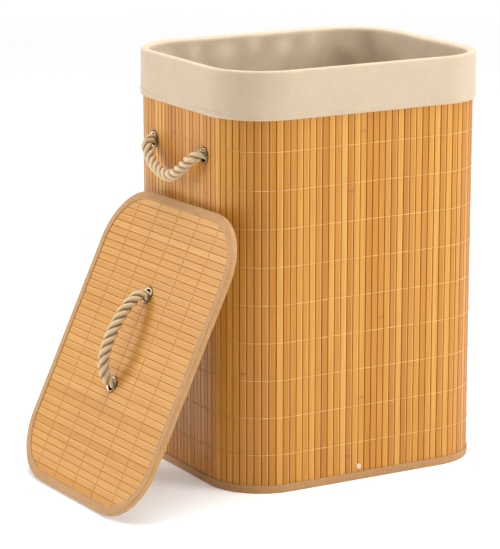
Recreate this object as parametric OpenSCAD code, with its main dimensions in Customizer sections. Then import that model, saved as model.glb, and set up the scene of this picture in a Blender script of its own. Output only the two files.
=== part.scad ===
// Laundry hamper of sewn bamboo slats with a loose slatted lid.
// Millimetres, +Z up, front at -Y. The origin is the middle of the base, on the floor.
// The lid stands on its short edge and leans against the -X side.

/* [Body] */
// Outside width of the slat wall
body_w = 422; // [300:1:600]
// Outside depth of the slat wall
body_d = 342; // [240:1:500]
// Height of the rim above the floor
body_h = 600; // [400:1:800]
// Outside radius of the upright corners
corner_r = 84; // [40:1:110]
// Thickness of the base board
base_t = 6; // [3:0.5:12]
// Diameter of the two wire hoops
hoop_d = 3; // [2:0.5:5]

/* [Slats] */
// Thickness of a bamboo slat
slat_t = 2.6; // [1.5:0.1:5]
// Aimed distance from slat to slat
slat_pitch = 10.5; // [6:0.1:20]
// Gap between two slats
slat_gap = 0.6; // [0.2:0.1:2]
// Thickness of the cloth behind the slats
backing_t = 1; // [0.4:0.1:2]
// Height of one row of sewing above the last
thread_pitch = 54; // [30:1:90]
// Height of a sewing thread on the slats
thread_w = 1.2; // [0.5:0.1:2]
// How far a sewing thread stands off the slats
thread_proud = 0.5; // [0.2:0.1:1]

/* [Cloth] */
// Thickness of the woven edge tape
tape_t = 0.8; // [0.4:0.1:2]
// Height of the edge tape on each face
tape_w = 12; // [8:1:25]
// Thickness of the liner cloth
liner_t = 1.2; // [0.6:0.1:2.5]
// Depth of the cuff turned over the rim
cuff_h = 68; // [40:1:120]
// Height of the folded hem of the cuff
hem_h = 12; // [6:1:25]
// Play between two layers of cloth
cloth_gap = 0.2; // [0.1:0.05:0.5]

/* [Rope handles] */
// Diameter of the twisted rope
rope_d = 17; // [10:0.5:24]
// Distance between the two eyelets of a side handle
grip_w = 148; // [100:1:200]
// Height of the side eyelets below the cuff
grip_below = 58; // [30:1:300]
// Distance between the two eyelets of the lid handle
lid_grip_w = 134; // [90:1:200]
// Slope of the legs of a side handle
grip_slope = 32; // [15:1:50]
// Slope of the legs of the lid handle
lid_grip_slope = 18; // [8:1:40]
// Bend radius at the crown of a side handle
crown_r = 22; // [15:1:40]
// Bend radius at the crown of the lid handle
lid_crown_r = 60; // [20:1:80]
// Distance from the wall to the line a handle swings about
grip_out = 13; // [11:0.5:25]
// Angle of the left handle from hanging straight down
left_swing = 18; // [0:1:90]
// Angle of the right handle from hanging straight down
right_swing = 50; // [0:1:90]
// Radius of the knot behind each eyelet
knot_r = 15; // [12:0.5:20]

/* [Eyelets] */
// Radial play of the rope in an eyelet
rope_play = 0.4; // [0.2:0.05:1]
// Wall of the eyelet barrel
barrel_t = 0.9; // [0.5:0.1:2]
// Width of the eyelet flange outside the barrel
flange_w = 2.6; // [1.5:0.1:5]
// Thickness of the eyelet flange
flange_t = 1.6; // [0.8:0.1:3]
// Thickness of the eyelet washer
washer_t = 1; // [0.5:0.1:2]
// Radial play of the barrel in its hole
barrel_play = 0.1; // [0.05:0.05:0.5]

/* [Front stud] */
// Distance of the stud to the left of the middle
stud_x = 15; // [0:1:120]
// Height of the stud above the floor
stud_z = 20; // [15:1:60]
// Diameter of the stud head
stud_d = 8; // [5:0.5:15]

/* [Lid] */
// How far the lid reaches past the body on each long side
lid_over_x = 10; // [4:0.5:20]
// How far the lid reaches past the body at front and back
lid_over_y = 1; // [0.5:0.5:20]
// Thickness of the lid board
lid_board_t = 3; // [2:0.5:8]
// Thickness of the cloth under the lid
lining_t = 0.8; // [0.4:0.1:2]
// Number of sewing lines on the lid
lid_thread_n = 5; // [3:1:9]
// Middle of the lid handle above the middle of the lid
lid_grip_shift = 14; // [0:1:40]
// Share of the free height under the side handles that the leaning lid takes up
lean_reach = 0.9026; // [0.5:0.0001:0.99]
// Free height kept between the side eyelets and the leaning lid
lean_clear = 32; // [25:1:120]
// Turn of the leaning lid about the upright
lean_turn = 2.5; // [0:0.5:10]
// Distance of the lid's foot in front of the middle
lean_front = 44; // [0:1:100]
// Play between the lid and the wall it leans on
lean_gap = 0.5; // [0.3:0.1:3]

/* [Hidden] */
$fa = 4;
$fs = 0.6;

// Thin overlap that lets a cut pass right through a face.
cut = 1;
quarter = 90;
half_turn = 180;

// Wall, from the outside in.
backing_in = slat_t + cloth_gap;
backing_end = backing_in + backing_t;
tape_in = backing_end + cloth_gap;
tape_end = tape_in + tape_t;
hoop_in = tape_end + cloth_gap;
liner_in = hoop_in + hoop_d + cloth_gap;
liner_end = liner_in + liner_t;
tape_out = cloth_gap + tape_t;
cuff_out = tape_out + thread_proud + liner_t;
board_in = tape_end + cloth_gap;

// Heights.
wall_z = tape_t + cloth_gap;
wall_top = body_h - liner_t - tape_t - 2 * cloth_gap;
board_z = tape_t;
board_top = board_z + base_t;
liner_z = board_top + cloth_gap;
hoop_low_z = liner_z + hoop_d / 2;
hoop_top_z = wall_top - hoop_d / 2;
first_thread_z = thread_pitch + 2;
thread_n = floor((wall_top - cuff_h - first_thread_z) / thread_pitch) + 1;

// Slats.
side_x = body_w - 2 * corner_r;
side_y = body_d - 2 * corner_r;
n_x = round(side_x / slat_pitch);
n_y = round(side_y / slat_pitch);
n_corner = round(PI * corner_r / 2 / slat_pitch);
corner_step = quarter / n_corner;
corner_slat_w = 2 * (corner_r - slat_t) * tan(corner_step / 2) - slat_gap;

// Rope, eyelets and the two handle sizes.
rope_r = rope_d / 2;
bore_r = rope_r + rope_play;
barrel_r = bore_r + barrel_t;
hole_r = barrel_r + barrel_play;
flange_r = barrel_r + flange_w;
lip_t = 0.8;
lip_w = 1.4;
end_gap = 0.5;
swell = 0.1;
swell_turn = 1;
wall_stack = liner_end + washer_t;
knot_sink = sqrt(knot_r * knot_r - bore_r * bore_r);
tail_l = 14;
grip_z = body_h - cuff_h - grip_below;

// Front stud.
stud_shank_r = 1.5;
stud_head_t = 2.4;

// Lid layers, upwards from the underside.
lid_l = body_w + 2 * lid_over_x;
lid_w = body_d + 2 * lid_over_y;
lid_r = corner_r + 2;
lining_z = tape_t + cloth_gap;
lid_board_z = lining_z + lining_t + cloth_gap / 2;
lid_slat_z = lid_board_z + lid_board_t + cloth_gap / 2;
lid_face = lid_slat_z + slat_t;
lid_t = lid_face + cloth_gap + tape_t;
lid_in = tape_t + cloth_gap;
lid_slat_n = round((lid_l - 2 * lid_in) / slat_pitch);
lid_slat_step = (lid_l - 2 * lid_in) / lid_slat_n;
lid_grip_x = lid_l / 2 + lid_grip_shift;
lid_grip_out = grip_out - 1;
lean = asin(lean_reach * min(lid_l, grip_z - lean_clear) / lid_l);
lean_x = body_w / 2 + thread_proud + lean_gap + lid_l * cos(lean) * cos(lean_turn)
    + (lid_w / 2 - lid_r) * sin(lean_turn);

bamboo = [0.86, 0.60, 0.32];
tape_tan = [0.72, 0.57, 0.40];
linen = [0.82, 0.74, 0.63];
jute = [0.78, 0.69, 0.52];
old_brass = [0.55, 0.47, 0.35];
wire_grey = [0.55, 0.56, 0.58];
board_brown = [0.66, 0.52, 0.38];
thread_tan = [0.83, 0.70, 0.50];

// Which piece to draw.

// Flat outline of the body, moved in by d from its outside.
module outline(d) {
    rounded(body_w - 2 * d, body_d - 2 * d, corner_r - d);
}

module rounded(w, l, r) {
    square([w - 2 * r, l], center = true);
    square([w, l - 2 * r], center = true);
    for (sx = [-1, 1], sy = [-1, 1]) {
        translate([sx * (w / 2 - r), sy * (l / 2 - r)]) circle(r = r);
    }
}

// Upright band of the wall between two depths and two heights.
module band(outer, inner, z0, z1) {
    difference() {
        translate([0, 0, z0]) linear_extrude(z1 - z0) outline(outer);
        translate([0, 0, z0 - cut]) linear_extrude(z1 - z0 + 2 * cut) outline(inner);
    }
}

// Places a side piece at both eyelets of a side: children run outwards along +X.
module at_eyelets(side) {
    for (s = [-1, 1]) {
        scale_side(side) translate([body_w / 2, s * grip_w / 2, grip_z]) children();
    }
}

module scale_side(side) {
    rotate([0, 0, side < 0 ? half_turn : 0]) children();
}

// Places a piece at both eyelets of the lid, in the lid's own frame.
module at_lid_eyelets() {
    for (s = [-1, 1]) {
        translate([lid_grip_x + s * lid_grip_w / 2, 0, lid_face]) rotate([0, -quarter, 0]) children();
    }
}

// The lid's own frame: X up the lid from its foot, Y across, Z out of the slatted face.
module in_lid() {
    translate([-lean_x, -lean_front, 0]) rotate([0, 0, lean_turn]) rotate([0, -lean, 0]) children();
}

// Bores through a side wall for the eyelet barrels.
module wall_bores() {
    for (side = [-1, 1]) {
        at_eyelets(side) translate([-wall_stack - cut, 0, 0]) rotate([0, quarter, 0])
            cylinder(h = wall_stack + 2 * cut, r = hole_r);
    }
}

module lid_bores() {
    at_lid_eyelets() translate([-lid_t, 0, 0]) rotate([0, quarter, 0])
        cylinder(h = lid_t + cut, r = hole_r);
}

module slat(w) {
    translate([-slat_t, -w / 2, wall_z]) cube([slat_t, w, wall_top - wall_z]);
}

module wall_slats() {
    w_x = side_x / n_x;
    w_y = side_y / n_y;
    color(bamboo) difference() {
        union() {
            for (s = [0, half_turn], i = [0 : n_x - 1]) {
                rotate([0, 0, s]) translate([(i + 0.5) * w_x - side_x / 2, -body_d / 2, 0])
                    rotate([0, 0, -quarter]) slat(w_x - slat_gap);
            }
            for (s = [0, half_turn], i = [0 : n_y - 1]) {
                rotate([0, 0, s]) translate([body_w / 2, (i + 0.5) * w_y - side_y / 2, 0])
                    slat(w_y - slat_gap);
            }
            for (sx = [0, 1], sy = [0, 1], i = [0 : n_corner - 1]) {
                mirror([sx, 0, 0]) mirror([0, sy, 0])
                    translate([body_w / 2 - corner_r, body_d / 2 - corner_r, 0])
                    rotate([0, 0, (i + 0.5) * corner_step])
                    translate([corner_r, 0, 0]) slat(corner_slat_w);
            }
        }
        wall_bores();
        stud_bore();
    }
}

module wall_backing() {
    color(linen) difference() {
        band(backing_in, backing_end, wall_z, wall_top);
        wall_bores();
        stud_bore();
    }
}

module wall_threads() {
    color(thread_tan) for (i = [0 : thread_n - 1]) {
        z = first_thread_z + i * thread_pitch;
        difference() {
            band(-thread_proud, 0, z - thread_w / 2, z + thread_w / 2);
            for (side = [-1, 1]) {
                at_eyelets(side) translate([-cut, 0, 0]) rotate([0, quarter, 0])
                    cylinder(h = flange_t + 2 * cut, r = flange_r + cloth_gap);
            }
        }
    }
}

// Edge tape folded round an upright wall edge; z0 is the fold, dir the way the legs run.
module folded_tape(z0, dir) {
    low = dir > 0 ? z0 : z0 - tape_w;
    web = dir > 0 ? z0 : z0 - tape_t;
    band(-tape_out, -cloth_gap, low, low + tape_w);
    band(tape_in, tape_end, low, low + tape_w);
    band(-tape_out, tape_end, web, web + tape_t);
}

module bottom_tape() {
    color(tape_tan) difference() {
        folded_tape(0, 1);
        stud_bore();
    }
}

module top_tape() {
    color(tape_tan) folded_tape(wall_top + cloth_gap + tape_t, -1);
}

module base_board() {
    color(board_brown) translate([0, 0, board_z]) linear_extrude(base_t) outline(board_in);
}

module base_cloth() {
    color(linen) linear_extrude(board_z) outline(board_in);
}

module hoop(z) {
    d = hoop_in + hoop_d / 2;
    r = corner_r - d;
    for (sx = [0, 1], sy = [0, 1]) {
        mirror([sx, 0, 0]) mirror([0, sy, 0])
            translate([body_w / 2 - corner_r, body_d / 2 - corner_r, z])
            rotate_extrude(angle = quarter) translate([r, 0]) circle(d = hoop_d);
    }
    for (s = [-1, 1]) {
        translate([-side_x / 2, s * (body_d / 2 - d), z]) rotate([0, quarter, 0])
            cylinder(h = side_x, d = hoop_d);
        translate([s * (body_w / 2 - d), side_y / 2, z]) rotate([quarter, 0, 0])
            cylinder(h = side_y, d = hoop_d);
    }
}

module top_hoop() {
    color(wire_grey) hoop(hoop_top_z);
}

module bottom_hoop() {
    color(wire_grey) hoop(hoop_low_z);
}

module liner_bag() {
    color(linen) difference() {
        band(liner_in, liner_end, liner_z, body_h - cuff_h / 2);
        wall_bores();
    }
}

module liner_floor() {
    color(linen) translate([0, 0, liner_z]) linear_extrude(liner_t) outline(liner_end + cloth_gap);
}

// The cuff: an inner leg sewn to the bag, the fold over the rim and the outer leg with its hem.
module liner_cuff() {
    color(linen) {
        band(liner_in, liner_end, body_h - cuff_h / 2 + cloth_gap, body_h);
        band(-cuff_out, liner_end, body_h - liner_t, body_h);
        band(-cuff_out, liner_t - cuff_out, body_h - cuff_h, body_h);
        band(-cuff_out - liner_t, liner_t - cuff_out, body_h - cuff_h, body_h - cuff_h + hem_h);
    }
}

module at_stud() {
    translate([-stud_x, -body_d / 2, stud_z]) rotate([quarter, 0, 0]) children();
}

module stud_bore() {
    at_stud() translate([0, 0, -tape_end - cut]) cylinder(h = tape_end + tape_out + 2 * cut,
        r = stud_shank_r + barrel_play);
}

module front_stud() {
    color(linen) at_stud() {
        intersection() {
            cylinder(h = stud_head_t, d = stud_d);
            translate([0, 0, stud_head_t - stud_d]) sphere(r = stud_d);
        }
        translate([0, 0, -backing_end - washer_t - cloth_gap]) cylinder(
            h = backing_end + washer_t + 2 * cloth_gap, r = stud_shank_r);
    }
}

module front_stud_washer() {
    color(old_brass) at_stud() translate([0, 0, -backing_end - washer_t]) difference() {
        cylinder(h = washer_t, d = stud_d);
        translate([0, 0, -cut]) cylinder(h = washer_t + 2 * cut, r = stud_shank_r + barrel_play);
    }
}

// Eyelet along +X: rounded flange outside the face, barrel through the stack, rolled lip inside.
module eyelet(stack) {
    rotate([0, quarter, 0]) rotate_extrude() {
        translate([bore_r, -stack - lip_t]) square([barrel_t, stack + lip_t + flange_t / 2]);
        translate([bore_r, -stack - lip_t]) square([lip_w, lip_t]);
        translate([bore_r + flange_t / 2, 0]) square([flange_r - bore_r - flange_t, flange_t]);
        for (r = [bore_r + flange_t / 2, flange_r - flange_t / 2]) {
            translate([r, flange_t / 2]) circle(d = flange_t);
        }
    }
}

module washer(stack) {
    translate([-stack, 0, 0]) rotate([0, quarter, 0]) difference() {
        cylinder(h = washer_t, r = flange_r);
        translate([0, 0, -cut]) cylinder(h = washer_t + 2 * cut, r = hole_r);
    }
}

// Rope from just short of the swinging loop, through the eyelet to its knot and frayed tail.
module rope_end(stack, out) {
    start = out - rope_r - end_gap;
    knot_x = stack + lip_t + cloth_gap + knot_sink;
    translate([-knot_x, 0, 0]) rotate([0, quarter, 0]) rotate_extrude() {
        translate([0, -knot_r - tail_l]) square([rope_r, knot_r + tail_l + knot_x + start]);
        intersection() {
            circle(r = knot_r);
            translate([0, -knot_r]) square([knot_r, 2 * knot_r]);
        }
    }
}

// Swinging loop in the Y-Z plane: ball ends on the Y axis, two legs and a round crown below.
module rope_loop(span, slope, bend_r) {
    half = span / 2;
    drop = rope_drop(span, slope, bend_r);
    leg = (half - bend_r * sin(slope)) / cos(slope);
    for (s = [0, 1]) {
        mirror([0, s, 0]) translate([0, half, 0]) {
            sphere(r = rope_r + swell);
            rotate([quarter + slope, 0, 0]) cylinder(h = leg, r = rope_r);
        }
    }
    translate([0, 0, bend_r - drop]) rotate([quarter, 0, quarter])
        rotate([0, 0, -quarter - slope - swell_turn])
        rotate_extrude(angle = 2 * (slope + swell_turn))
        translate([bend_r, 0]) circle(r = rope_r + swell);
}

function rope_drop(span, slope, bend_r) =
    bend_r * (1 - cos(slope)) + (span / 2 - bend_r * sin(slope)) * tan(slope);

module side_eyelets(side) {
    color(old_brass) at_eyelets(side) eyelet(wall_stack);
}

module side_washers(side) {
    color(old_brass) at_eyelets(side) washer(wall_stack);
}

module side_rope_ends(side) {
    color(jute) at_eyelets(side) rope_end(wall_stack, grip_out);
}

module side_handle_rope(side, swing) {
    color(jute) scale_side(side) translate([body_w / 2 + grip_out, 0, grip_z])
        rotate([0, -swing, 0]) rope_loop(grip_w, grip_slope, crown_r);
}

module left_eyelets() {
    side_eyelets(-1);
}

module left_washers() {
    side_washers(-1);
}

module left_rope_ends() {
    side_rope_ends(-1);
}

module left_handle_rope() {
    side_handle_rope(-1, left_swing);
}

module right_eyelets() {
    side_eyelets(1);
}

module right_washers() {
    side_washers(1);
}

module right_rope_ends() {
    side_rope_ends(1);
}

module right_handle_rope() {
    side_handle_rope(1, right_swing);
}

// Flat lid outline, moved in by d, with its foot at X = 0.
module lid_outline(d) {
    translate([lid_l / 2, 0]) rounded(lid_l - 2 * d, lid_w - 2 * d, lid_r - d);
}

module lid_plate(d, z0, z1) {
    translate([0, 0, z0]) linear_extrude(z1 - z0) lid_outline(d);
}

module lid_slats() {
    color(bamboo) in_lid() difference() {
        intersection() {
            lid_plate(lid_in, lid_slat_z, lid_face);
            for (i = [0 : lid_slat_n - 1]) {
                translate([lid_in + i * lid_slat_step + slat_gap / 2, -lid_w / 2, lid_slat_z - cut])
                    cube([lid_slat_step - slat_gap, lid_w, slat_t + 2 * cut]);
            }
        }
        lid_bores();
    }
}

module lid_board() {
    color(board_brown) in_lid() difference() {
        lid_plate(lid_in, lid_board_z, lid_board_z + lid_board_t);
        lid_bores();
    }
}

module lid_lining() {
    color(linen) in_lid() difference() {
        lid_plate(lid_in, lining_z, lining_z + lining_t);
        lid_bores();
    }
}

module lid_tape() {
    color(tape_tan) in_lid() difference() {
        lid_plate(0, 0, lid_t);
        lid_plate(tape_t, tape_t, lid_t - tape_t);
        lid_plate(tape_w, -cut, lid_t + cut);
    }
}

module lid_threads() {
    color(thread_tan) in_lid() difference() {
        for (i = [0 : lid_thread_n - 1]) {
            y = (i - (lid_thread_n - 1) / 2) * thread_pitch;
            reach = lid_l / 2 - tape_w - lid_corner_cut(abs(y)) - 2;
            translate([lid_l / 2 - reach, y - thread_w / 2, lid_face])
                cube([2 * reach, thread_w, thread_proud]);
        }
        at_lid_eyelets() translate([-cut, 0, 0]) rotate([0, quarter, 0])
            cylinder(h = flange_t + 2 * cut, r = flange_r + cloth_gap);
    }
}

// How much of the lid's length its rounded corners take away at a distance y from the middle.
function lid_corner_cut(y) =
    let (r = lid_r - tape_w, over = max(0, y + thread_w / 2 - (lid_w / 2 - lid_r)))
    r - sqrt(max(0, r * r - over * over));

module lid_eyelets() {
    color(old_brass) in_lid() at_lid_eyelets() eyelet(lid_face - lining_z + washer_t);
}

module lid_washers() {
    color(old_brass) in_lid() at_lid_eyelets() washer(lid_face - lining_z + washer_t);
}

module lid_rope_ends() {
    color(jute) in_lid() at_lid_eyelets() rope_end(lid_face - lining_z + washer_t, lid_grip_out);
}

module lid_handle_rope() {
    color(jute) in_lid() translate([lid_grip_x, 0, lid_face + lid_grip_out])
        rotate([half_turn, 0, quarter]) rope_loop(lid_grip_w, lid_grip_slope, lid_crown_r);
}

wall_slats();
wall_backing();
wall_threads();
bottom_tape();
top_tape();
base_board();
base_cloth();
top_hoop();
bottom_hoop();
liner_bag();
liner_floor();
liner_cuff();
front_stud();
front_stud_washer();
left_eyelets();
left_washers();
left_rope_ends();
left_handle_rope();
right_eyelets();
right_washers();
right_rope_ends();
right_handle_rope();
lid_slats();
lid_board();
lid_lining();
lid_tape();
lid_threads();
lid_eyelets();
lid_washers();
lid_rope_ends();
lid_handle_rope();
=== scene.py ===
"""Looks of the slatted laundry hamper: camera, ropes, slats, sewing, tape, liner, metal and light."""

import math

import bmesh
import bpy
import numpy as np
from mathutils import Matrix, Vector


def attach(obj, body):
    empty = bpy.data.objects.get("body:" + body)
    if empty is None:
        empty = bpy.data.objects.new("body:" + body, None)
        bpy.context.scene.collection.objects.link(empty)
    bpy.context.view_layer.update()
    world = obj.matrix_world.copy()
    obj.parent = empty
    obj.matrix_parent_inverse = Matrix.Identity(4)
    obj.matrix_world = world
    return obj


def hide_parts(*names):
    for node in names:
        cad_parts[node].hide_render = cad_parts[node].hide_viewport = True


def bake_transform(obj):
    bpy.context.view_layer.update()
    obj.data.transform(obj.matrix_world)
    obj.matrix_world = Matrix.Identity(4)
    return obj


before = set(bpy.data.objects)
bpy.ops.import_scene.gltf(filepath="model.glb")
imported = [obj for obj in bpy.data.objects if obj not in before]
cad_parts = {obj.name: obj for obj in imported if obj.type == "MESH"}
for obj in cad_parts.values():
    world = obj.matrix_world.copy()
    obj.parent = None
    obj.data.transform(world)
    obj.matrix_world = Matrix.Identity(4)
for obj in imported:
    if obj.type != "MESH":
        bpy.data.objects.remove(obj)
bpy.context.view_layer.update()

MM = 0.001

# Sizes of the hamper, in metres, as in the part's source.
BODY_W = 0.422
BODY_D = 0.342
BODY_H = 0.600
CORNER_R = 0.084
SLAT_T = 0.0026
SLAT_COUNT = 134
WALL_LOW = 0.001
WALL_TOP = 0.5966
THREAD_ROW_LOW = 0.056
THREAD_PITCH = 0.054
THREAD_ROWS = 9
GRIP_W = 0.148
GRIP_Z = 0.474
GRIP_OUT = 0.013
ROPE_D = 0.017
HOLE_R = 0.0101
LINER_T = 0.0012

# Sizes of the lid, in its own frame: X up from its foot, Y across, Z out of the slats.
LID_L = 0.442
LID_W = 0.344
LID_R = 0.086
LID_SLATS = 42
LID_SLAT_GAP = 0.00020
LID_SLAT_Z = 0.0050
LID_FACE = 0.0076
LID_IN = 0.0010
LID_GRIP_W = 0.134
LID_GRIP_X = LID_L / 2 + 0.014
LEAN = math.asin(0.9026)
LEAN_TURN = math.radians(2.5)
LEAN_X = (
    BODY_W / 2
    + 0.001
    + LID_L * math.cos(LEAN) * math.cos(LEAN_TURN)
    + (LID_W / 2 - LID_R) * math.sin(LEAN_TURN)
)
LEAN_FRONT = 0.044
LID_PLACE = (
    Matrix.Translation((-LEAN_X, -LEAN_FRONT, 0))
    @ Matrix.Rotation(LEAN_TURN, 4, "Z")
    @ Matrix.Rotation(-LEAN, 4, "Y")
)

# Frames of the three handles: X out of the face, Y along the two eyelets.
LEFT_PLACE = Matrix.Translation((-BODY_W / 2, 0, GRIP_Z)) @ Matrix.Rotation(math.pi, 4, "Z")
RIGHT_PLACE = Matrix.Translation((BODY_W / 2, 0, GRIP_Z))
LID_GRIP_PLACE = LID_PLACE @ Matrix(
    ((0, 1, 0, LID_GRIP_X), (0, 0, 1, 0), (1, 0, 0, LID_FACE), (0, 0, 0, 1))
)
WALL_STACK = 0.0104
LID_STACK = 0.0076


# ---------------------------------------------------------------- camera


FILM_WIDTH = 36.0
FOCAL_LENGTH = 173.1
EYE = (-1.9374, -3.2307, 1.1551)
EYE_TURN = 0.5182
EYE_DIP = -0.2322


def make_camera():
    data = bpy.data.cameras.new("camera")
    camera = bpy.data.objects.new("camera", data)
    bpy.context.scene.collection.objects.link(camera)
    data.sensor_width = FILM_WIDTH
    data.lens = FOCAL_LENGTH
    camera.location = EYE
    level = math.cos(EYE_DIP)
    ahead = Vector((level * math.sin(EYE_TURN), level * math.cos(EYE_TURN), math.sin(EYE_DIP)))
    camera.rotation_euler = ahead.to_track_quat("-Z", "Y").to_euler()
    data.clip_start = 0.1
    data.clip_end = 60
    bpy.context.scene.camera = camera


make_camera()


# ---------------------------------------------------------------- mesh helpers


def add_object(name, mesh):
    piece = bpy.data.objects.new(name, mesh)
    bpy.context.scene.collection.objects.link(piece)
    return piece


def mesh_from(name, points, faces, uvs=None, smooth=True):
    """A mesh object; uvs holds one pair a face corner."""
    mesh = bpy.data.meshes.new(name)
    mesh.from_pydata([tuple(p) for p in points], [], faces)
    if uvs is not None:
        layer = mesh.uv_layers.new(name="cloth_uv")
        layer.data.foreach_set("uv", np.asarray(uvs, np.float32).ravel())
    mesh.update()
    if smooth:
        mesh.polygons.foreach_set("use_smooth", [True] * len(mesh.polygons))
    return add_object(name, mesh)


def recalc_normals(piece):
    work = bmesh.new()
    work.from_mesh(piece.data)
    bmesh.ops.recalc_face_normals(work, faces=work.faces)
    work.to_mesh(piece.data)
    work.free()


def apply_modifiers(piece):
    """Turns what the modifiers make into the piece's own plain mesh."""
    graph = bpy.context.evaluated_depsgraph_get()
    graph.update()
    made = bpy.data.meshes.new_from_object(piece.evaluated_get(graph))
    piece.modifiers.clear()
    old = piece.data
    piece.data = made
    bpy.data.meshes.remove(old)
    made.name = piece.name


def outline(width, depth, radius, inset, count):
    """Points round a rounded rectangle, counter-clockwise from the middle of the front.
    Each row is x, y, outward x, outward y, distance along the outside outline."""
    straight_x = width - 2 * radius
    straight_y = depth - 2 * radius
    arc = math.pi * radius / 2
    whole = 2 * (straight_x + straight_y) + 4 * arc
    rows = []
    for i in range(count):
        along = whole * i / count
        rest = (along + straight_x / 2) % whole
        for side in range(4):
            run = straight_x if side % 2 == 0 else straight_y
            face = (depth if side % 2 == 0 else width) / 2
            turn = math.pi / 2 * side
            if rest <= run:
                local = (rest - run / 2, -face, 0.0, -1.0)
                break
            rest -= run
            if rest <= arc:
                bend = rest / radius
                local = (
                    run / 2 + radius * math.sin(bend),
                    -face + radius * (1 - math.cos(bend)),
                    math.sin(bend),
                    -math.cos(bend),
                )
                break
            rest -= arc
        c, s = math.cos(turn), math.sin(turn)
        out_x = local[2] * c - local[3] * s
        out_y = local[2] * s + local[3] * c
        x = local[0] * c - local[1] * s - out_x * inset
        y = local[0] * s + local[1] * c - out_y * inset
        rows.append((x, y, out_x, out_y, along))
    return np.array(rows), whole


def loft_ring(name, profile, count, size, closed, shape=None):
    """Sweeps a profile of (inset, height) pairs round the outline of size (width, depth, radius).
    shape(x, y, z, out_x, out_y, along, step) may return a changed point."""
    base, whole = outline(*size, 0.0, count)
    steps = [0.0]
    for (i0, z0), (i1, z1) in zip(profile, profile[1:]):
        steps.append(steps[-1] + math.hypot(i1 - i0, z1 - z0))
    points = []
    for k, (inset, height) in enumerate(profile):
        for x, y, out_x, out_y, along in base:
            p = (x - out_x * inset, y - out_y * inset, height)
            if shape is not None:
                p = shape(*p, out_x, out_y, along, steps[k])
            points.append(p)
    rows = len(profile)
    faces, uvs = [], []
    for k in range(rows if closed else rows - 1):
        upper = (k + 1) % rows
        v0 = steps[k]
        v1 = steps[k + 1] if k + 1 < rows else steps[k] + 0.001
        for i in range(count):
            j = (i + 1) % count
            u0, u1 = whole * i / count, whole * (i + 1) / count
            faces.append((k * count + i, k * count + j, upper * count + j, upper * count + i))
            uvs += [(u0, v0), (u1, v0), (u1, v1), (u0, v1)]
    return mesh_from(name, points, faces, uvs)


# ---------------------------------------------------------------- node helpers


class Graph:
    """Adds nodes to a tree; an input is given as a value or as the socket that feeds it."""

    def __init__(self, tree):
        self.tree = tree

    def add(self, kind, inputs=None, **settings):
        node = self.tree.nodes.new(kind)
        for key, value in settings.items():
            setattr(node, key, value)
        for key, value in (inputs or {}).items():
            socket = node.inputs[key]
            if isinstance(value, bpy.types.NodeSocket):
                self.tree.links.new(value, socket)
            else:
                socket.default_value = value
        return node

    def math(self, operation, a, b=0.0, c=0.0, clamp=False):
        kind = "ShaderNodeMath"
        node = self.add(kind, {0: a, 1: b, 2: c}, operation=operation, use_clamp=clamp)
        return node.outputs[0]

    def mul(self, a, b, **settings):
        return self.math("MULTIPLY", a, b, **settings)

    def plus(self, a, b, **settings):
        return self.math("ADD", a, b, **settings)

    def sub(self, a, b, **settings):
        return self.math("SUBTRACT", a, b, **settings)

    def vector_math(self, operation, a, b=(0, 0, 0)):
        return self.add("ShaderNodeVectorMath", {0: a, 1: b}, operation=operation).outputs[0]

    def mix(self, factor, a, b, blend="MIX"):
        node = self.add("ShaderNodeMix", data_type="RGBA", blend_type=blend)
        colours = [s for s in node.inputs if s.type == "RGBA"]
        for socket, value in ((node.inputs[0], factor), (colours[0], a), (colours[1], b)):
            if isinstance(value, bpy.types.NodeSocket):
                self.tree.links.new(value, socket)
            else:
                socket.default_value = value
        return next(s for s in node.outputs if s.type == "RGBA")

    def shade(self, colour, level):
        grey = self.add("ShaderNodeCombineColor", {0: level, 1: level, 2: level}).outputs[0]
        return self.mix(1.0, colour, grey, "MULTIPLY")

    def ramp(self, factor, stops):
        node = self.add("ShaderNodeValToRGB", {"Fac": factor})
        ramp = node.color_ramp
        while len(ramp.elements) < len(stops):
            ramp.elements.new(0.5)
        for element, (place, colour) in zip(ramp.elements, stops):
            element.position = place
            element.color = colour if len(colour) == 4 else (*colour, 1)
        return node.outputs["Color"]

    def step(self, value, low, high, out_low=0.0, out_high=1.0):
        node = self.add(
            "ShaderNodeMapRange",
            {"Value": value, "From Min": low, "From Max": high, "To Min": out_low, "To Max": out_high},
            interpolation_type="SMOOTHSTEP",
        )
        return node.outputs[0]

    def noise(self, vector, scale, detail=2.0, rough=0.5):
        node = self.add(
            "ShaderNodeTexNoise",
            {"Vector": vector, "Scale": scale, "Detail": detail, "Roughness": rough},
        )
        return node.outputs[0]


def shader_group(name, inputs, outputs):
    """A shader node group; inputs and outputs are (name, socket type, value) rows."""
    tree = bpy.data.node_groups.new(name, "ShaderNodeTree")
    for label, kind, value in inputs:
        socket = tree.interface.new_socket(label, in_out="INPUT", socket_type=kind)
        if value is not None:
            socket.default_value = value
    for label, kind in outputs:
        tree.interface.new_socket(label, in_out="OUTPUT", socket_type=kind)
    graph = Graph(tree)
    return tree, graph, graph.add("NodeGroupInput"), graph.add("NodeGroupOutput")


FLOAT = "NodeSocketFloat"
VECTOR = "NodeSocketVector"


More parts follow.
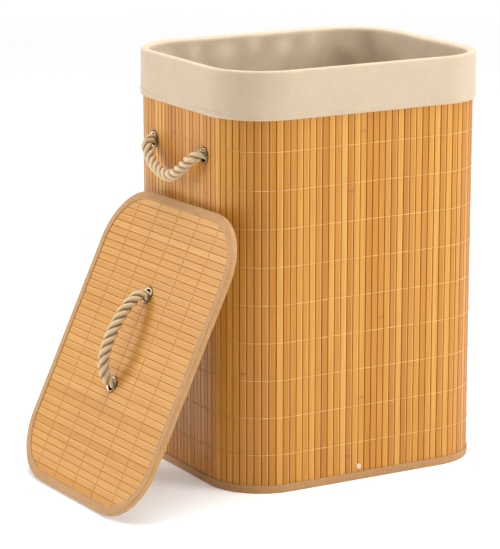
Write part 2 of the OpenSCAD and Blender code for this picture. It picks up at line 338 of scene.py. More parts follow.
def make_grain_group():
    """Long fibre streaks: Across and Along are distances in metres, Seed parts one strip from the next."""
    tree, g, given, out = shader_group(
        "fibre_grain",
        [("Across", FLOAT, 0.0), ("Along", FLOAT, 0.0), ("Seed", FLOAT, 0.0), ("Fineness", FLOAT, 1.0)],
        [("Streaks", FLOAT), ("Bands", FLOAT)],
    )
    fine = g.mul(given.outputs["Across"], given.outputs["Fineness"])
    along = given.outputs["Along"]
    seed = g.mul(given.outputs["Seed"], 91.7)
    place = g.add(
        "ShaderNodeCombineXYZ",
        {0: g.mul(fine, 1500.0), 1: g.mul(along, 14.0), 2: seed},
    )
    wide = g.add(
        "ShaderNodeCombineXYZ",
        {0: g.mul(fine, 260.0), 1: g.mul(along, 5.0), 2: seed},
    )
    tree.links.new(g.noise(place.outputs[0], 1.0, 3.0, 0.6), out.inputs["Streaks"])
    tree.links.new(g.noise(wide.outputs[0], 1.0, 2.0, 0.5), out.inputs["Bands"])
    return tree


def make_weave_group():
    """Plain weave from a flat position in metres: thread shade, thread height and slubs."""
    tree, g, given, out = shader_group(
        "plain_weave",
        [("Position", VECTOR, None), ("Threads", FLOAT, 900.0)],
        [("Height", FLOAT), ("Shade", FLOAT), ("Mottle", FLOAT)],
    )
    parts = g.add("ShaderNodeSeparateXYZ", {0: given.outputs["Position"]})
    wobble = g.mul(g.noise(given.outputs["Position"], 160.0, 2.0), 0.9)
    x = g.plus(g.mul(parts.outputs[0], given.outputs["Threads"]), wobble)
    y = g.plus(g.mul(parts.outputs[1], given.outputs["Threads"]), wobble)
    warp = g.math("ABSOLUTE", g.math("SINE", g.mul(x, math.pi)))
    weft = g.math("ABSOLUTE", g.math("SINE", g.mul(y, math.pi)))
    over = g.math("MODULO", g.plus(g.math("FLOOR", x), g.math("FLOOR", y)), 2.0)
    over = g.math("ABSOLUTE", over)
    warp_part = g.mul(warp, over)
    weft_part = g.mul(weft, g.sub(1.0, over))
    tree.links.new(g.plus(warp_part, weft_part), out.inputs["Height"])
    slub_x = g.add(
        "ShaderNodeCombineXYZ", {0: g.mul(x, 1.0), 1: g.mul(y, 0.06), 2: 3.0}
    )
    slub_y = g.add(
        "ShaderNodeCombineXYZ", {0: g.mul(x, 0.06), 1: g.mul(y, 1.0), 2: 8.0}
    )
    slubs = g.plus(g.noise(slub_x.outputs[0], 0.7, 2.0), g.noise(slub_y.outputs[0], 0.7, 2.0))
    tree.links.new(g.mul(slubs, 0.5), out.inputs["Shade"])
    tree.links.new(g.noise(given.outputs["Position"], 22.0, 4.0, 0.6), out.inputs["Mottle"])
    return tree


GRAIN = make_grain_group()
WEAVE = make_weave_group()


def new_material(name, roughness=0.6, **constants):
    material = bpy.data.materials.new(name)
    material.use_nodes = True
    graph = Graph(material.node_tree)
    shader = material.node_tree.nodes["Principled BSDF"]
    shader.inputs["Roughness"].default_value = roughness
    for key, value in constants.items():
        shader.inputs[key.replace("_", " ")].default_value = value
    return material, graph, shader


def use_group(graph, tree, inputs):
    node = graph.add("ShaderNodeGroup", node_tree=tree)
    for key, value in inputs.items():
        if isinstance(value, bpy.types.NodeSocket):
            graph.tree.links.new(value, node.inputs[key])
        else:
            node.inputs[key].default_value = value
    return node


def bump(graph, shader, height, strength, distance):
    node = graph.add("ShaderNodeBump", {"Height": height, "Strength": strength, "Distance": distance})
    graph.tree.links.new(node.outputs[0], shader.inputs["Normal"])


# ---------------------------------------------------------------- materials


def bamboo_material(name, tones, painted_highlight_colour, gap_shade_and_ring_colour):
    """Lacquered bamboo strips. slat_uv runs across (0 to 1) and along (metres); slat_tone holds two
    numbers a strip."""
    material, g, shader = new_material(name, Coat_Weight=0.06, Coat_Roughness=0.25, Specular_IOR_Level=0.35)
    uv = g.add("ShaderNodeUVMap", uv_map="slat_uv").outputs[0]
    tone = g.add("ShaderNodeUVMap", uv_map="slat_tone").outputs[0]
    place = g.add("ShaderNodeSeparateXYZ", {0: uv})
    across, along = place.outputs[0], place.outputs[1]
    numbers = g.add("ShaderNodeSeparateXYZ", {0: tone})
    first, second = numbers.outputs[0], numbers.outputs[1]
    grain = use_group(
        g, GRAIN, {
            "Across": g.mul(across, 0.01), "Along": along, "Seed": second, "Fineness": 1.0
        }
    )
    streaks, bands = grain.outputs["Streaks"], grain.outputs["Bands"]
    level = g.plus(first, g.mul(g.sub(bands, 0.5), 0.55), clamp=True)
    colour = g.ramp(level, tones)
    fine = g.step(streaks, 0.3, 0.7, 0.86, 1.08)
    colour = g.shade(colour, fine)
    # Painted highlight: a lighter strip along one edge of some slats, standing in for light on the rounded
    # edge.
    painted_highlight_strip = g.mul(g.step(across, 0.74, 0.80), g.step(second, 0.35, 0.55))
    colour = g.mix(g.mul(painted_highlight_strip, 0.45), colour, painted_highlight_colour)
    # Painted shade with some dirt: both edges of each slat darken towards the gaps between slats.
    edge = g.math("MAXIMUM", g.step(across, 0.10, 0.02), g.step(across, 0.90, 0.98))
    colour = g.mix(g.mul(edge, 0.55), colour, gap_shade_and_ring_colour)
    ring_place = g.math("FRACT", g.mul(second, 17.3))
    ring_gap = g.math(
        "ABSOLUTE",
        g.sub(g.math("FRACT", g.plus(g.mul(along, 2.6), ring_place)), 0.5
        ),
    )
    has_ring = g.math("GREATER_THAN", g.math("FRACT", g.mul(first, 29.1)), 0.80)
    ring = g.mul(g.step(ring_gap, 0.0065, 0.0025), has_ring)
    # The bamboo rings reuse the same dark colour; the rings are the bamboo's own marks.
    colour = g.mix(g.mul(ring, 0.32), colour, gap_shade_and_ring_colour)
    material.node_tree.links.new(colour, shader.inputs["Base Color"])
    material.node_tree.links.new(g.step(streaks, 0.2, 0.8, 0.36, 0.52), shader.inputs["Roughness"])
    height = g.sub(streaks, g.mul(ring, 0.8))
    bump(g, shader, height, 0.25, 0.0004)
    return material


def cloth_material(name, light, dark, threads, depth, uv_map="cloth_uv", rough=0.9):
    """Plain woven cloth, on the piece's own flat map, or on Object coordinates where uv_map is None."""
    material, g, shader = new_material(name, rough, Sheen_Weight=0.25, Sheen_Roughness=0.5)
    if uv_map:
        flat = g.add("ShaderNodeUVMap", uv_map=uv_map).outputs[0]
    else:
        flat = g.add("ShaderNodeTexCoord").outputs["Object"]
    weave = use_group(g, WEAVE, {"Position": flat, "Threads": threads})
    shade = g.step(weave.outputs["Shade"], 0.25, 0.75)
    colour = g.mix(shade, dark, light)
    mottle = g.step(weave.outputs["Mottle"], 0.3, 0.75, 0.96, 1.02)
    colour = g.shade(colour, mottle)
    # Painted shade: the hollows of the weave are darkened.
    weave_hollow_shade = g.step(weave.outputs["Height"], 0.0, 0.5, 0.82, 1.0)
    colour = g.shade(colour, weave_hollow_shade)
    material.node_tree.links.new(colour, shader.inputs["Base Color"])
    bump(g, shader, weave.outputs["Height"], 0.5, depth)
    return material


def rope_material():
    """Twisted jute and cotton: fibres run along each strand, with painted shade in the grooves between
    strands.
    """
    material, g, shader = new_material("rope_jute", 0.88, Sheen_Weight=0.35, Sheen_Roughness=0.5)
    uv = g.add("ShaderNodeUVMap", uv_map="strand_uv").outputs[0]
    place = g.add("ShaderNodeSeparateXYZ", {0: uv})
    along, around = place.outputs[0], place.outputs[1]
    lean = g.plus(around, g.mul(along, 18.0))
    fibre = g.add(
        "ShaderNodeCombineXYZ",
        {0: g.mul(lean, 42.0), 1: g.mul(along, 160.0), 2: 0.0},
    )
    fibres = g.noise(fibre.outputs[0], 1.0, 4.0, 0.65)
    yarn = g.math("ABSOLUTE", g.math("SINE", g.mul(lean, math.pi * 7)))
    groove = g.add("ShaderNodeUVMap", uv_map="strand_depth").outputs[0]
    outward = g.add("ShaderNodeSeparateXYZ", {0: groove}).outputs[0]
    colour = g.ramp(
        fibres, [(0.25, (0.48, 0.325, 0.15)), (0.5, (0.76, 0.57, 0.32)), (0.75, (0.88, 0.71, 0.45))]
    )
    # Painted shade: darker where the strands meet in the grooves.
    colour = g.mix(g.mul(g.step(outward, 0.82, 0.50), 0.58), colour, (0.22, 0.125, 0.055, 1))
    material.node_tree.links.new(colour, shader.inputs["Base Color"])
    bump(g, shader, g.plus(fibres, g.mul(yarn, 0.35)), 0.9, 0.0008)
    return material


def metal_material(name, body, worn, dirt, roughness):
    """Plated metal with worn bright patches and darker patches of age."""
    material, g, shader = new_material(name, roughness, Metallic=1.0)
    place = g.add("ShaderNodeTexCoord").outputs["Object"]
    patches = g.noise(place, 260.0, 4.0, 0.6)
    specks = g.noise(place, 1400.0, 2.0)
    colour = g.mix(g.step(patches, 0.45, 0.62), body, worn)
    colour = g.mix(g.mul(g.step(specks, 0.56, 0.68), 0.5), colour, dirt)
    material.node_tree.links.new(colour, shader.inputs["Base Color"])
    material.node_tree.links.new(
        g.step(patches, 0.3, 0.7, roughness + 0.14, roughness - 0.06), shader.inputs["Roughness"]
    )
    bump(g, shader, specks, 0.12, 0.0002)
    return material


def board_material():
    """Pressed fibre board with short flecks."""
    material, g, shader = new_material("fibre_board", 0.8)
    place = g.add("ShaderNodeTexCoord").outputs["Object"]
    flecks = g.noise(place, 700.0, 3.0, 0.7)
    colour = g.ramp(
        flecks, [(0.3, (0.16, 0.09, 0.045)), (0.55, (0.30, 0.19, 0.10)), (0.75, (0.44, 0.31, 0.18))]
    )
    material.node_tree.links.new(colour, shader.inputs["Base Color"])
    bump(g, shader, flecks, 0.3, 0.0003)
    return material


def stud_material():
    """Cream moulded stud with a faint cloudiness."""
    material, g, shader = new_material("cream_stud", 0.32, Coat_Weight=0.3)
    place = g.add("ShaderNodeTexCoord").outputs["Object"]
    cloud = g.noise(place, 300.0, 3.0)
    colour = g.ramp(cloud, [(0.3, (0.60, 0.47, 0.29)), (0.7, (0.76, 0.63, 0.43))])
    material.node_tree.links.new(colour, shader.inputs["Base Color"])
    bump(g, shader, cloud, 0.1, 0.0002)
    return material


def thread_material(name, light, dark, quiet=None):
    """Waxed sewing thread; thread_tone holds a number a stitch. quiet is its colour on the short sides."""
    material, g, shader = new_material(name, 0.7, Sheen_Weight=0.2)
    place = g.add("ShaderNodeTexCoord").outputs["Object"]
    twist = g.noise(place, 1600.0, 2.0)
    tone = g.add("ShaderNodeSeparateXYZ", {0: g.add("ShaderNodeUVMap", uv_map="thread_tone").outputs[0]})
    level = g.plus(g.mul(tone.outputs[0], 0.8), g.mul(twist, 0.3), clamp=True
    )
    colour = g.mix(level, dark, light)
    if quiet:
        x = g.add("ShaderNodeSeparateXYZ", {0: place}).outputs[0]
        colour = g.mix(g.step(g.math("ABSOLUTE", x), 0.170, 0.202), colour, quiet)
    material.node_tree.links.new(colour, shader.inputs["Base Color"])
    bump(g, shader, twist, 0.3, 0.0002)
    return material


def eyelet_material():
    """Brass with painted light along its profile: painted shade in the bore, a painted highlight on the roll
    and brown painted shade at the outer edge.
    """
    material, g, shader = new_material("old_brass", 0.3, Metallic=1.0)
    place = g.add("ShaderNodeTexCoord").outputs["Object"]
    uv = g.add("ShaderNodeSeparateXYZ", {0: g.add("ShaderNodeUVMap", uv_map="eyelet_uv").outputs[0]})
    patches = g.noise(place, 420.0, 4.0, 0.6)
    shift = g.plus(uv.outputs[1], g.mul(g.sub(patches, 0.5), 0.16))
    # Painted light down the profile: the dark bore is painted shade, the pale band is a painted highlight on
    # the roll, and the dark brown outer edge is painted shade.
    colour = g.ramp(
        shift,
        [
            (0.05, (0.050, 0.030, 0.015)),
            (0.22, (0.50, 0.40, 0.28)),
            (0.36, (0.88, 0.77, 0.58)),
            (0.48, (0.78, 0.67, 0.50)),
            (0.58, (0.22, 0.13, 0.065)),
            (0.90, (0.085, 0.045, 0.020)),
        ],
    )
    material.node_tree.links.new(colour, shader.inputs["Base Color"])
    material.node_tree.links.new(g.step(patches, 0.3, 0.7, 0.42, 0.24), shader.inputs["Roughness"])
    bump(g, shader, patches, 0.1, 0.0002)
    return material


def floor_material():
    """Pale floor that glows: painted light, weak near the middle and stronger further out."""
    material, g, shader = new_material("pale_floor", 0.9)
    place = g.add("ShaderNodeTexCoord").outputs["Object"]
    colour = g.ramp(g.noise(place, 2.0), [(0.3, (0.90, 0.90, 0.90)), (0.7, (0.92, 0.92, 0.92))])
    material.node_tree.links.new(colour, shader.inputs["Base Color"])
    # Painted light: the floor's emission rises with distance from the middle.
    away = g.add("ShaderNodeVectorMath", {0: place}, operation="LENGTH").outputs["Value"]
    glow = g.step(away, 1.5, 7.0, 0.30, 1.2)
    glow_colour = g.add("ShaderNodeCombineColor", {0: glow, 1: glow, 2: glow})
    material.node_tree.links.new(glow_colour.outputs[0], shader.inputs["Emission Color"])
    shader.inputs["Emission Strength"].default_value = 0.7
    return material


WALL_TONES = [
    (0.00, (0.490, 0.182, 0.012)),
    (0.28, (0.530, 0.208, 0.016)),
    (0.58, (0.575, 0.235, 0.022)),
    (0.84, (0.630, 0.280, 0.032)),
    (1.00, (0.690, 0.345, 0.058)),
]
LID_TONES = [
    (0.00, (0.555, 0.242, 0.034)),
    (0.40, (0.580, 0.262, 0.041)),
    (0.70, (0.600, 0.278, 0.051)),
    (1.00, (0.635, 0.315, 0.074)),
]
# The fourth colour is painted shade and dirt in the gaps between slats, and also the colour of the rings.
# The third colour of each bamboo is the painted highlight along one slat edge.
WALL_BAMBOO = bamboo_material("bamboo_wall", WALL_TONES, (0.76, 0.45, 0.15, 1), (0.20, 0.055, 0.006, 1))
LID_BAMBOO = bamboo_material("bamboo_lid", LID_TONES, (0.72, 0.41, 0.14, 1), (0.36, 0.145, 0.028, 1))
LINER_CLOTH = cloth_material("liner_cloth", (0.645, 0.515, 0.365, 1), (0.585, 0.46, 0.32, 1), 1100.0, 0.0003)
TAPE_CLOTH = cloth_material("edge_tape", (0.57, 0.31, 0.115, 1), (0.45, 0.225, 0.074, 1), 900.0, 0.0004)
BACKING_CLOTH = cloth_material("backing_cloth", (0.24, 0.10, 0.035, 1), (0.15, 0.06, 0.02, 1), 800.0, 0.0003)
LINING_CLOTH = cloth_material("lining_cloth", (0.50, 0.38, 0.25, 1), (0.38, 0.27, 0.17, 1), 800.0, 0.0003)
BACKING_CLOTH_SOLID = cloth_material(
    "hidden_tape", (0.50, 0.38, 0.25, 1), (0.38, 0.27, 0.17, 1), 800.0, 0.0003, None
)
ROPE_JUTE = rope_material()
EYELET_METAL = metal_material(
    "eyelet_metal", (0.52, 0.42, 0.30, 1), (0.86, 0.80, 0.70, 1), (0.16, 0.10, 0.05, 1), 0.3
)
HOOP_WIRE = metal_material(
    "hoop_wire", (0.46, 0.46, 0.47, 1), (0.70, 0.70, 0.71, 1), (0.16, 0.14, 0.13, 1), 0.38
)
FIBRE_BOARD = board_material()
CREAM_STUD = stud_material()
PALE_THREAD = thread_material(
    "pale_thread", (0.88, 0.58, 0.22, 1), (0.60, 0.29, 0.055, 1), (0.58, 0.26, 0.045, 1)
)
# Painted shade: the lid's threads are a darker copy of the thread, standing in for shadow.
LID_THREAD_SHADED = thread_material("lid_thread_painted_shade", (0.55, 0.26, 0.075, 1), (0.46, 0.205, 0.05, 1))
TAPE_THREAD = thread_material("tape_thread", (0.56, 0.38, 0.21, 1), (0.44, 0.28, 0.15, 1))
HEM_THREAD = thread_material("hem_thread", (0.70, 0.57, 0.42, 1), (0.60, 0.47, 0.33, 1))
EYELET_BRASS = eyelet_material()


# ---------------------------------------------------------------- ropes


def ease(t):
    """0 below 0, 1 above 1 and smooth between."""
    t = min(max(t, 0.0), 1.0)
    return t * t * (3 - 2 * t)


def smooth_path(points, step):
    """Evenly spaced points on a smooth curve through the given ones."""
    p = [Vector(q) for q in points]
    fine = []
    for i in range(len(p) - 1):
        before = p[i - 1] if i else p[i] * 2 - p[i + 1]
        after = p[i + 2] if i + 2 < len(p) else p[i + 1] * 2 - p[i]
        for k in range(24):
            t = k / 24
            fine.append(
                0.5
                * (
                    2 * p[i]
                    + (p[i + 1] - before) * t
                    + (2 * before - 5 * p[i] + 4 * p[i + 1] - after) * t * t
                    + (3 * p[i] - before - 3 * p[i + 1] + after) * t * t * t
                )
            )
    fine.append(p[-1])
    lengths = [0.0]
    for a, b in zip(fine, fine[1:]):
        lengths.append(lengths[-1] + (b - a).length)
    count = max(2, round(lengths[-1] / step))
    even, at = [], 0
    for k in range(count + 1):
        want = lengths[-1] * k / count
        while at + 2 < len(fine) and lengths[at + 1] < want:
            at += 1
        part = (want - lengths[at]) / max(lengths[at + 1] - lengths[at], 1e-9)
        even.append(fine[at].lerp(fine[at + 1], part))
    return even, lengths[-1]


def twisted_rope(name, path, diameter, lay_length, sides=12, open_end=0.0, bore=0.0):
    """Three strands laid round a path. strand_uv runs along (metres) and around a strand; strand_depth
    is 1 on the outside of the rope and 0 in its heart. open_end spreads the strands at the far end, and
    bore is the length at both ends that an eyelet squeezes."""
    strand_r = diameter * 0.265
    helix_r = diameter * 0.245
    frames = []
    tangent = (path[1] - path[0]).normalized()
    side = tangent.orthogonal().normalized()
    for i, p in enumerate(path):
        ahead = path[min(i + 1, len(path) - 1)] - path[max(i - 1, 0)]
        new_tangent = ahead.normalized()
        side = side - new_tangent * side.dot(new_tangent)
        side.normalize()
        frames.append((p, new_tangent, side.copy(), new_tangent.cross(side)))
    points, faces, uvs, depths = [], [], [], []
    run = 0.0
    along = [0.0]
    for a, b in zip(path, path[1:]):
        run += (b - a).length
        along.append(run)
    for strand in range(3):
        first = len(points)
        for i, (p, _, side, up) in enumerate(frames):
            turn = 2 * math.pi * (along[i] / lay_length + strand / 3)
            free = min(along[i], run - along[i]) - bore
            squeeze = 1.0 if bore == 0 else 0.84 + 0.16 * ease(free / 0.016)
            spread = squeeze + open_end * max(0.0, (along[i] - run + 0.012) / 0.012)
            plump = squeeze * (1 + 0.035 * math.sin(along[i] * 170 + strand * 2.1 + len(name)))
            centre = p + (side * math.cos(turn) + up * math.sin(turn)) * helix_r * spread
            out = side * math.cos(turn) + up * math.sin(turn)
            across = side * -math.sin(turn) + up * math.cos(turn)
            for k in range(sides):
                bend = 2 * math.pi * k / sides
                q = centre + (out * math.cos(bend) + across * math.sin(bend)) * strand_r * plump
                points.append(q)
        for i in range(len(frames) - 1):
            for k in range(sides):
                k2 = (k + 1) % sides
                a, b = first + i * sides, first + (i + 1) * sides
                faces.append((a + k, a + k2, b + k2, b + k))
                u0, u1 = along[i], along[i + 1]
                v0, v1 = k / sides, (k + 1) / sides
                uvs += [(u0, v0), (u0, v1), (u1, v1), (u1, v0)]
                d0 = 0.5 + 0.5 * math.cos(2 * math.pi * v0)
                d1 = 0.5 + 0.5 * math.cos(2 * math.pi * v1)
                depths += [(d0, 0), (d1, 0), (d1, 0), (d0, 0)]
        for ring, order in ((0, -1), (len(frames) - 1, 1)):
            base = first + ring * sides
            faces.append(tuple(base + k for k in range(sides))[::order])
            uvs += [(along[ring], 0.5)] * sides
            depths += [(0.5, 0)] * sides
    mesh = bpy.data.meshes.new(name)
    mesh.from_pydata([tuple(q) for q in points], [], faces)
    layer = mesh.uv_layers.new(name="strand_uv")
    layer.data.foreach_set("uv", np.asarray(uvs, np.float32).ravel())
    layer = mesh.uv_layers.new(name="strand_depth")
    layer.data.foreach_set("uv", np.asarray(depths, np.float32).ravel())
    mesh.update()
    mesh.polygons.foreach_set("use_smooth", [True] * len(mesh.polygons))
    piece = add_object(name, mesh)
    piece.data.materials.append(ROPE_JUTE)
    recalc_normals(piece)
    return piece


def knot_path(centre, out, up, size, tail):
    """A tight overhand knot round the line along out, ending in a short tail."""
    across = out.cross(up)
    points = []
    for i in range(25):
        t = 0.35 + (2 * math.pi - 0.7) * i / 24
        x = (math.sin(t) + 2 * math.sin(2 * t)) / 3
        y = (math.cos(t) - 2 * math.cos(2 * t)) / 3
        z = -math.sin(3 * t) * 0.62
        points.append(centre + (across * x + up * y + out * z) * size)
    points.append(centre - out * (size + tail * 0.3) + up * size * 0.3)
    points.append(centre - out * (size + tail) + up * size * 0.25)
    return points


ROPE_LAY = 0.040
LOOP_STEP = 0.0016
KNOT_BACK = 0.0255


def rope_handle(name, place, loop, stack, bodies, nodes, lean=0.0005):
    """One rope from knot to knot. place turns the handle's own frame (X out of the face, Y along the
    eyelets, Z up) into the row's; loop is the visible run between the eyelets; lean is how far the rope
    lies off the middle of its eyelets."""
    half = loop[0][1]
    start = -stack - 0.004
    back = [(start, 0.0, 0.0), (start * 0.55, -0.0006, lean * 0.5), (0.0, -0.0013, lean)]
    ends = [[(x, side * (half + y), z) for x, y, z in back] for side in (1, -1)]
    route = ends[0] + loop[1:-1] + ends[1][::-1]
    route = [place @ Vector(q) for q in route]
    path, length = smooth_path(route, LOOP_STEP)
    rope = twisted_rope(name, path, ROPE_D, ROPE_LAY, bore=stack + 0.006)
    for side, tag in ((1, "a"), (-1, "b")):
        centre = place @ Vector((-KNOT_BACK, side * half, 0))
        out = (place.to_3x3() @ Vector((1, 0, 0))).normalized()
        up = (place.to_3x3() @ Vector((0, 0, 1))).normalized()
        bend, _ = smooth_path(knot_path(centre, out, up, 0.0112, 0.016), 0.002)
        knot = twisted_rope(f"{name}_knot_{tag}", bend, ROPE_D * 0.98, ROPE_LAY, 9, 0.5)
        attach(knot, bodies[0])
    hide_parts(*nodes)
    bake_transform(rope)
    return rope


# Shape of a hanging side loop: distance along the eyelets and fall below them.
SIDE_LOOP = [
    (0.0702, 0.0055),
    (0.0640, 0.0120),
    (0.0490, 0.0245),
    (0.0265, 0.0335),
    (0.0050, 0.0378),
    (-0.0150, 0.0378),
    (-0.0315, 0.0305),
    (-0.0475, 0.0185),
    (-0.0632, 0.0065),
]
# Shape of the lid's loop: distance up the lid from the middle of the handle and height off the slats.
LID_LOOP = [
    (0.0655, 0.0070),
    (0.0600, 0.0145),
    (0.0515, 0.0205),
    (0.0375, 0.0262),
    (0.0200, 0.0300),
    (0.0040, 0.0316),
    (-0.0130, 0.0318),
    (-0.0285, 0.0308),
    (-0.0425, 0.0266),
    (-0.0550, 0.0190),
    (-0.0635, 0.0100),
]


def side_handle(name, place, angle, front):
    """front is 1 or -1: the end of the handle's own Y that the rope sags towards is -front."""
    loop = [(0.0, GRIP_W / 2, 0.0), (GRIP_OUT * 0.50, GRIP_W / 2 - 0.0028, 0.0002)]
    for y, fall in SIDE_LOOP if front > 0 else [(-y, fall) for y, fall in SIDE_LOOP[::-1]]:
        loop.append((GRIP_OUT + fall * math.sin(angle), y, -fall * math.cos(angle)))
    loop += [(GRIP_OUT * 0.50, -GRIP_W / 2 + 0.0028, 0.0002), (0.0, -GRIP_W / 2, 0.0)]
    rope_handle(
        f"{name}_rope",
        place,
        loop,
        0.0104,
        ("hamper", f"{name}_handle"),
        (f"{name}_handle_rope", f"{name}_rope_ends"),
    )


def make_ropes():
    side_handle("left", LEFT_PLACE, math.radians(14), -1)
    side_handle("right", RIGHT_PLACE, math.radians(50), 1)
    half = LID_GRIP_W / 2
    loop = [(0.0, half, 0.0)] + [(rise, y, 0.0) for y, rise in LID_LOOP] + [(0.0, -half, 0.0)]
    nodes = ("lid_handle_rope", "lid_rope_ends")
    rope_handle("lid_rope", LID_GRIP_PLACE, loop, LID_STACK, ("lid", "lid_handle"), nodes, 0.0)


make_ropes()


# ---------------------------------------------------------------- slats


def geometry_tree(name, inputs):
    tree = bpy.data.node_groups.new(name, "GeometryNodeTree")
    tree.interface.new_socket("Geometry", in_out="OUTPUT", socket_type="NodeSocketGeometry")
    for label, kind, value in inputs:
        socket = tree.interface.new_socket(label, in_out="INPUT", socket_type=kind)
        socket.default_value = value
    graph = Graph(tree)
    return tree, graph, graph.add("NodeGroupInput"), graph.add("NodeGroupOutput")


def grow(name, tree, values=None):
    """Runs a geometry tree once on an empty mesh and keeps its result as a plain mesh."""
    piece = add_object(name, bpy.data.meshes.new(name))
    modifier = piece.modifiers.new("grow", "NODES")
    modifier.node_group = tree
    by_name = {s.name: s.identifier for s in tree.interface.items_tree if s.item_type == "SOCKET"}
    for label, value in (values or {}).items():
        modifier[by_name[label]] = value
    apply_modifiers(piece)
    return piece


def slat_shape(g, width, thickness, height, round_r):
    """One slat standing on Z: X across, outer face towards -Y, with slat_uv stored on it."""
    profile = g.add("GeometryNodeCurvePrimitiveQuadrilateral", {"Width": width, "Height": thickness})
    soft = g.add(
        "GeometryNodeFilletCurve",
        {"Curve": profile.outputs[0], "Radius": round_r, "Count": 3, "Limit Radius": True},
        mode="POLY",
    )
    flat = g.add("GeometryNodeFillCurve", {"Curve": soft.outputs[0]}, mode="NGONS")
    rise = g.add("ShaderNodeCombineXYZ", {2: 1.0})
    walls = g.add(
        "GeometryNodeExtrudeMesh",
        {"Mesh": flat.outputs[0], "Offset": rise.outputs[0], "Offset Scale": height},
        mode="FACES",
    )
    foot = g.add("GeometryNodeFlipFaces", {"Mesh": flat.outputs[0]})
    whole = g.add("GeometryNodeJoinGeometry")
    g.tree.links.new(foot.outputs[0], whole.inputs[0])
    g.tree.links.new(walls.outputs[0], whole.inputs[0])
    merged = g.add("GeometryNodeMergeByDistance", {"Geometry": whole.outputs[0], "Distance": 0.00001})
    spot = g.add("ShaderNodeSeparateXYZ", {0: g.add("GeometryNodeInputPosition").outputs[0]})
    across = g.plus(g.math("DIVIDE", spot.outputs[0], width), 0.5)
    uv = g.add("ShaderNodeCombineXYZ", {0: across, 1: spot.outputs[2]})
    stored = g.add(
        "GeometryNodeStoreNamedAttribute",
        {"Geometry": merged.outputs[0], "Name": "slat_uv", "Value": uv.outputs[0]},
        data_type="FLOAT2",
        domain="CORNER",
    )
    return stored.outputs[0]


def tone_and_finish(g, instances, material, out):
    """Gives each instance two numbers, realizes the lot and sets its material."""
    stored = instances
    for label, seed in (("tone_a", 11), ("tone_b", 47)):
        number = g.add("FunctionNodeRandomValue", {"Seed": seed}, data_type="FLOAT")
        stored = g.add(
            "GeometryNodeStoreNamedAttribute",
            {"Geometry": stored, "Name": label, "Value": number.outputs[1]},
            data_type="FLOAT",
            domain="INSTANCE",
        ).outputs[0]
    real = g.add("GeometryNodeRealizeInstances", {"Geometry": stored})
    first = g.add("GeometryNodeInputNamedAttribute", {"Name": "tone_a"}, data_type="FLOAT")
    second = g.add("GeometryNodeInputNamedAttribute", {"Name": "tone_b"}, data_type="FLOAT")
    pair = g.add("ShaderNodeCombineXYZ", {0: first.outputs[0], 1: second.outputs[0]})
    named = g.add(
        "GeometryNodeStoreNamedAttribute",
        {"Geometry": real.outputs[0], "Name": "slat_tone", "Value": pair.outputs[0]},
        data_type="FLOAT2",
        domain="CORNER",
    )
    last = g.add("GeometryNodeSetMaterial", {"Geometry": named.outputs[0], "Material": material})
    g.tree.links.new(last.outputs[0], out.inputs[0])


def wall_slat_tree():
    tree, g, given, out = geometry_tree(
        "wall_slats",
        [
            ("Width", FLOAT, BODY_W),
            ("Depth", FLOAT, BODY_D),
            ("Corner Radius", FLOAT, CORNER_R),
            ("Slats", "NodeSocketInt", SLAT_COUNT),
            ("Slat Width", FLOAT, 0.0099),
            ("Slat Thickness", FLOAT, SLAT_T),
            ("Edge Radius", FLOAT, 0.0010),
            ("Height", FLOAT, WALL_TOP - WALL_LOW),
            ("Foot", FLOAT, WALL_LOW),
            ("Unevenness", FLOAT, 0.00022),
        ],
    )
    inset = given.outputs["Slat Thickness"]
    radius = g.sub(given.outputs["Corner Radius"], g.mul(inset, 0.5))
    loop = g.add(
        "GeometryNodeCurvePrimitiveQuadrilateral",
        {
            "Width": g.sub(given.outputs["Width"], inset),
            "Height": g.sub(given.outputs["Depth"], inset),
        },
    )
    soft = g.add(
        "GeometryNodeFilletCurve",
        {"Curve": loop.outputs[0], "Radius": radius, "Count": 40},
        mode="POLY",
    )
    spots = g.add(
        "GeometryNodeCurveToPoints",
        {"Curve": soft.outputs[0], "Count": given.outputs["Slats"]},
        mode="COUNT",
    )
    tangent = g.add("ShaderNodeSeparateXYZ", {0: spots.outputs["Tangent"]})
    heading = g.math("ARCTAN2", tangent.outputs[1], tangent.outputs[0])
    turn = g.add("ShaderNodeCombineXYZ", {2: heading})
    out_way = g.add(
        "ShaderNodeCombineXYZ", {0: tangent.outputs[1], 1: g.mul(tangent.outputs[0], -1.0)}
    )
    jitter = g.add("FunctionNodeRandomValue", {2: -1.0, 3: 0.0, "Seed": 5}, data_type="FLOAT")
    push = g.mul(jitter.outputs[1], given.outputs["Unevenness"])
    scaled = g.add("ShaderNodeVectorMath", {0: out_way.outputs[0], "Scale": push}, operation="SCALE")
    lifted = g.add("ShaderNodeCombineXYZ", {2: given.outputs["Foot"]})
    moved = g.add(
        "GeometryNodeSetPosition",
        {"Geometry": spots.outputs[0], "Offset": g.vector_math("ADD", scaled.outputs[0], lifted.outputs[0])},
    )
    narrow = g.add("FunctionNodeRandomValue", {2: 0.968, 3: 1.0, "Seed": 21}, data_type="FLOAT")
    size = g.add("ShaderNodeCombineXYZ", {0: narrow.outputs[1], 1: 1.0, 2: 1.0})
    slat = slat_shape(
        g, given.outputs["Slat Width"], given.outputs[
            "Slat Thickness"
        ], given.outputs["Height"], given.outputs["Edge Radius"]
    )
    placed = g.add(
        "GeometryNodeInstanceOnPoints",
        {"Points": moved.outputs[0], "Instance": slat, "Rotation": turn.outputs[0], "Scale": size.outputs[0]},
    )
    tone_and_finish(g, placed.outputs[0], WALL_BAMBOO, out)
    return tree


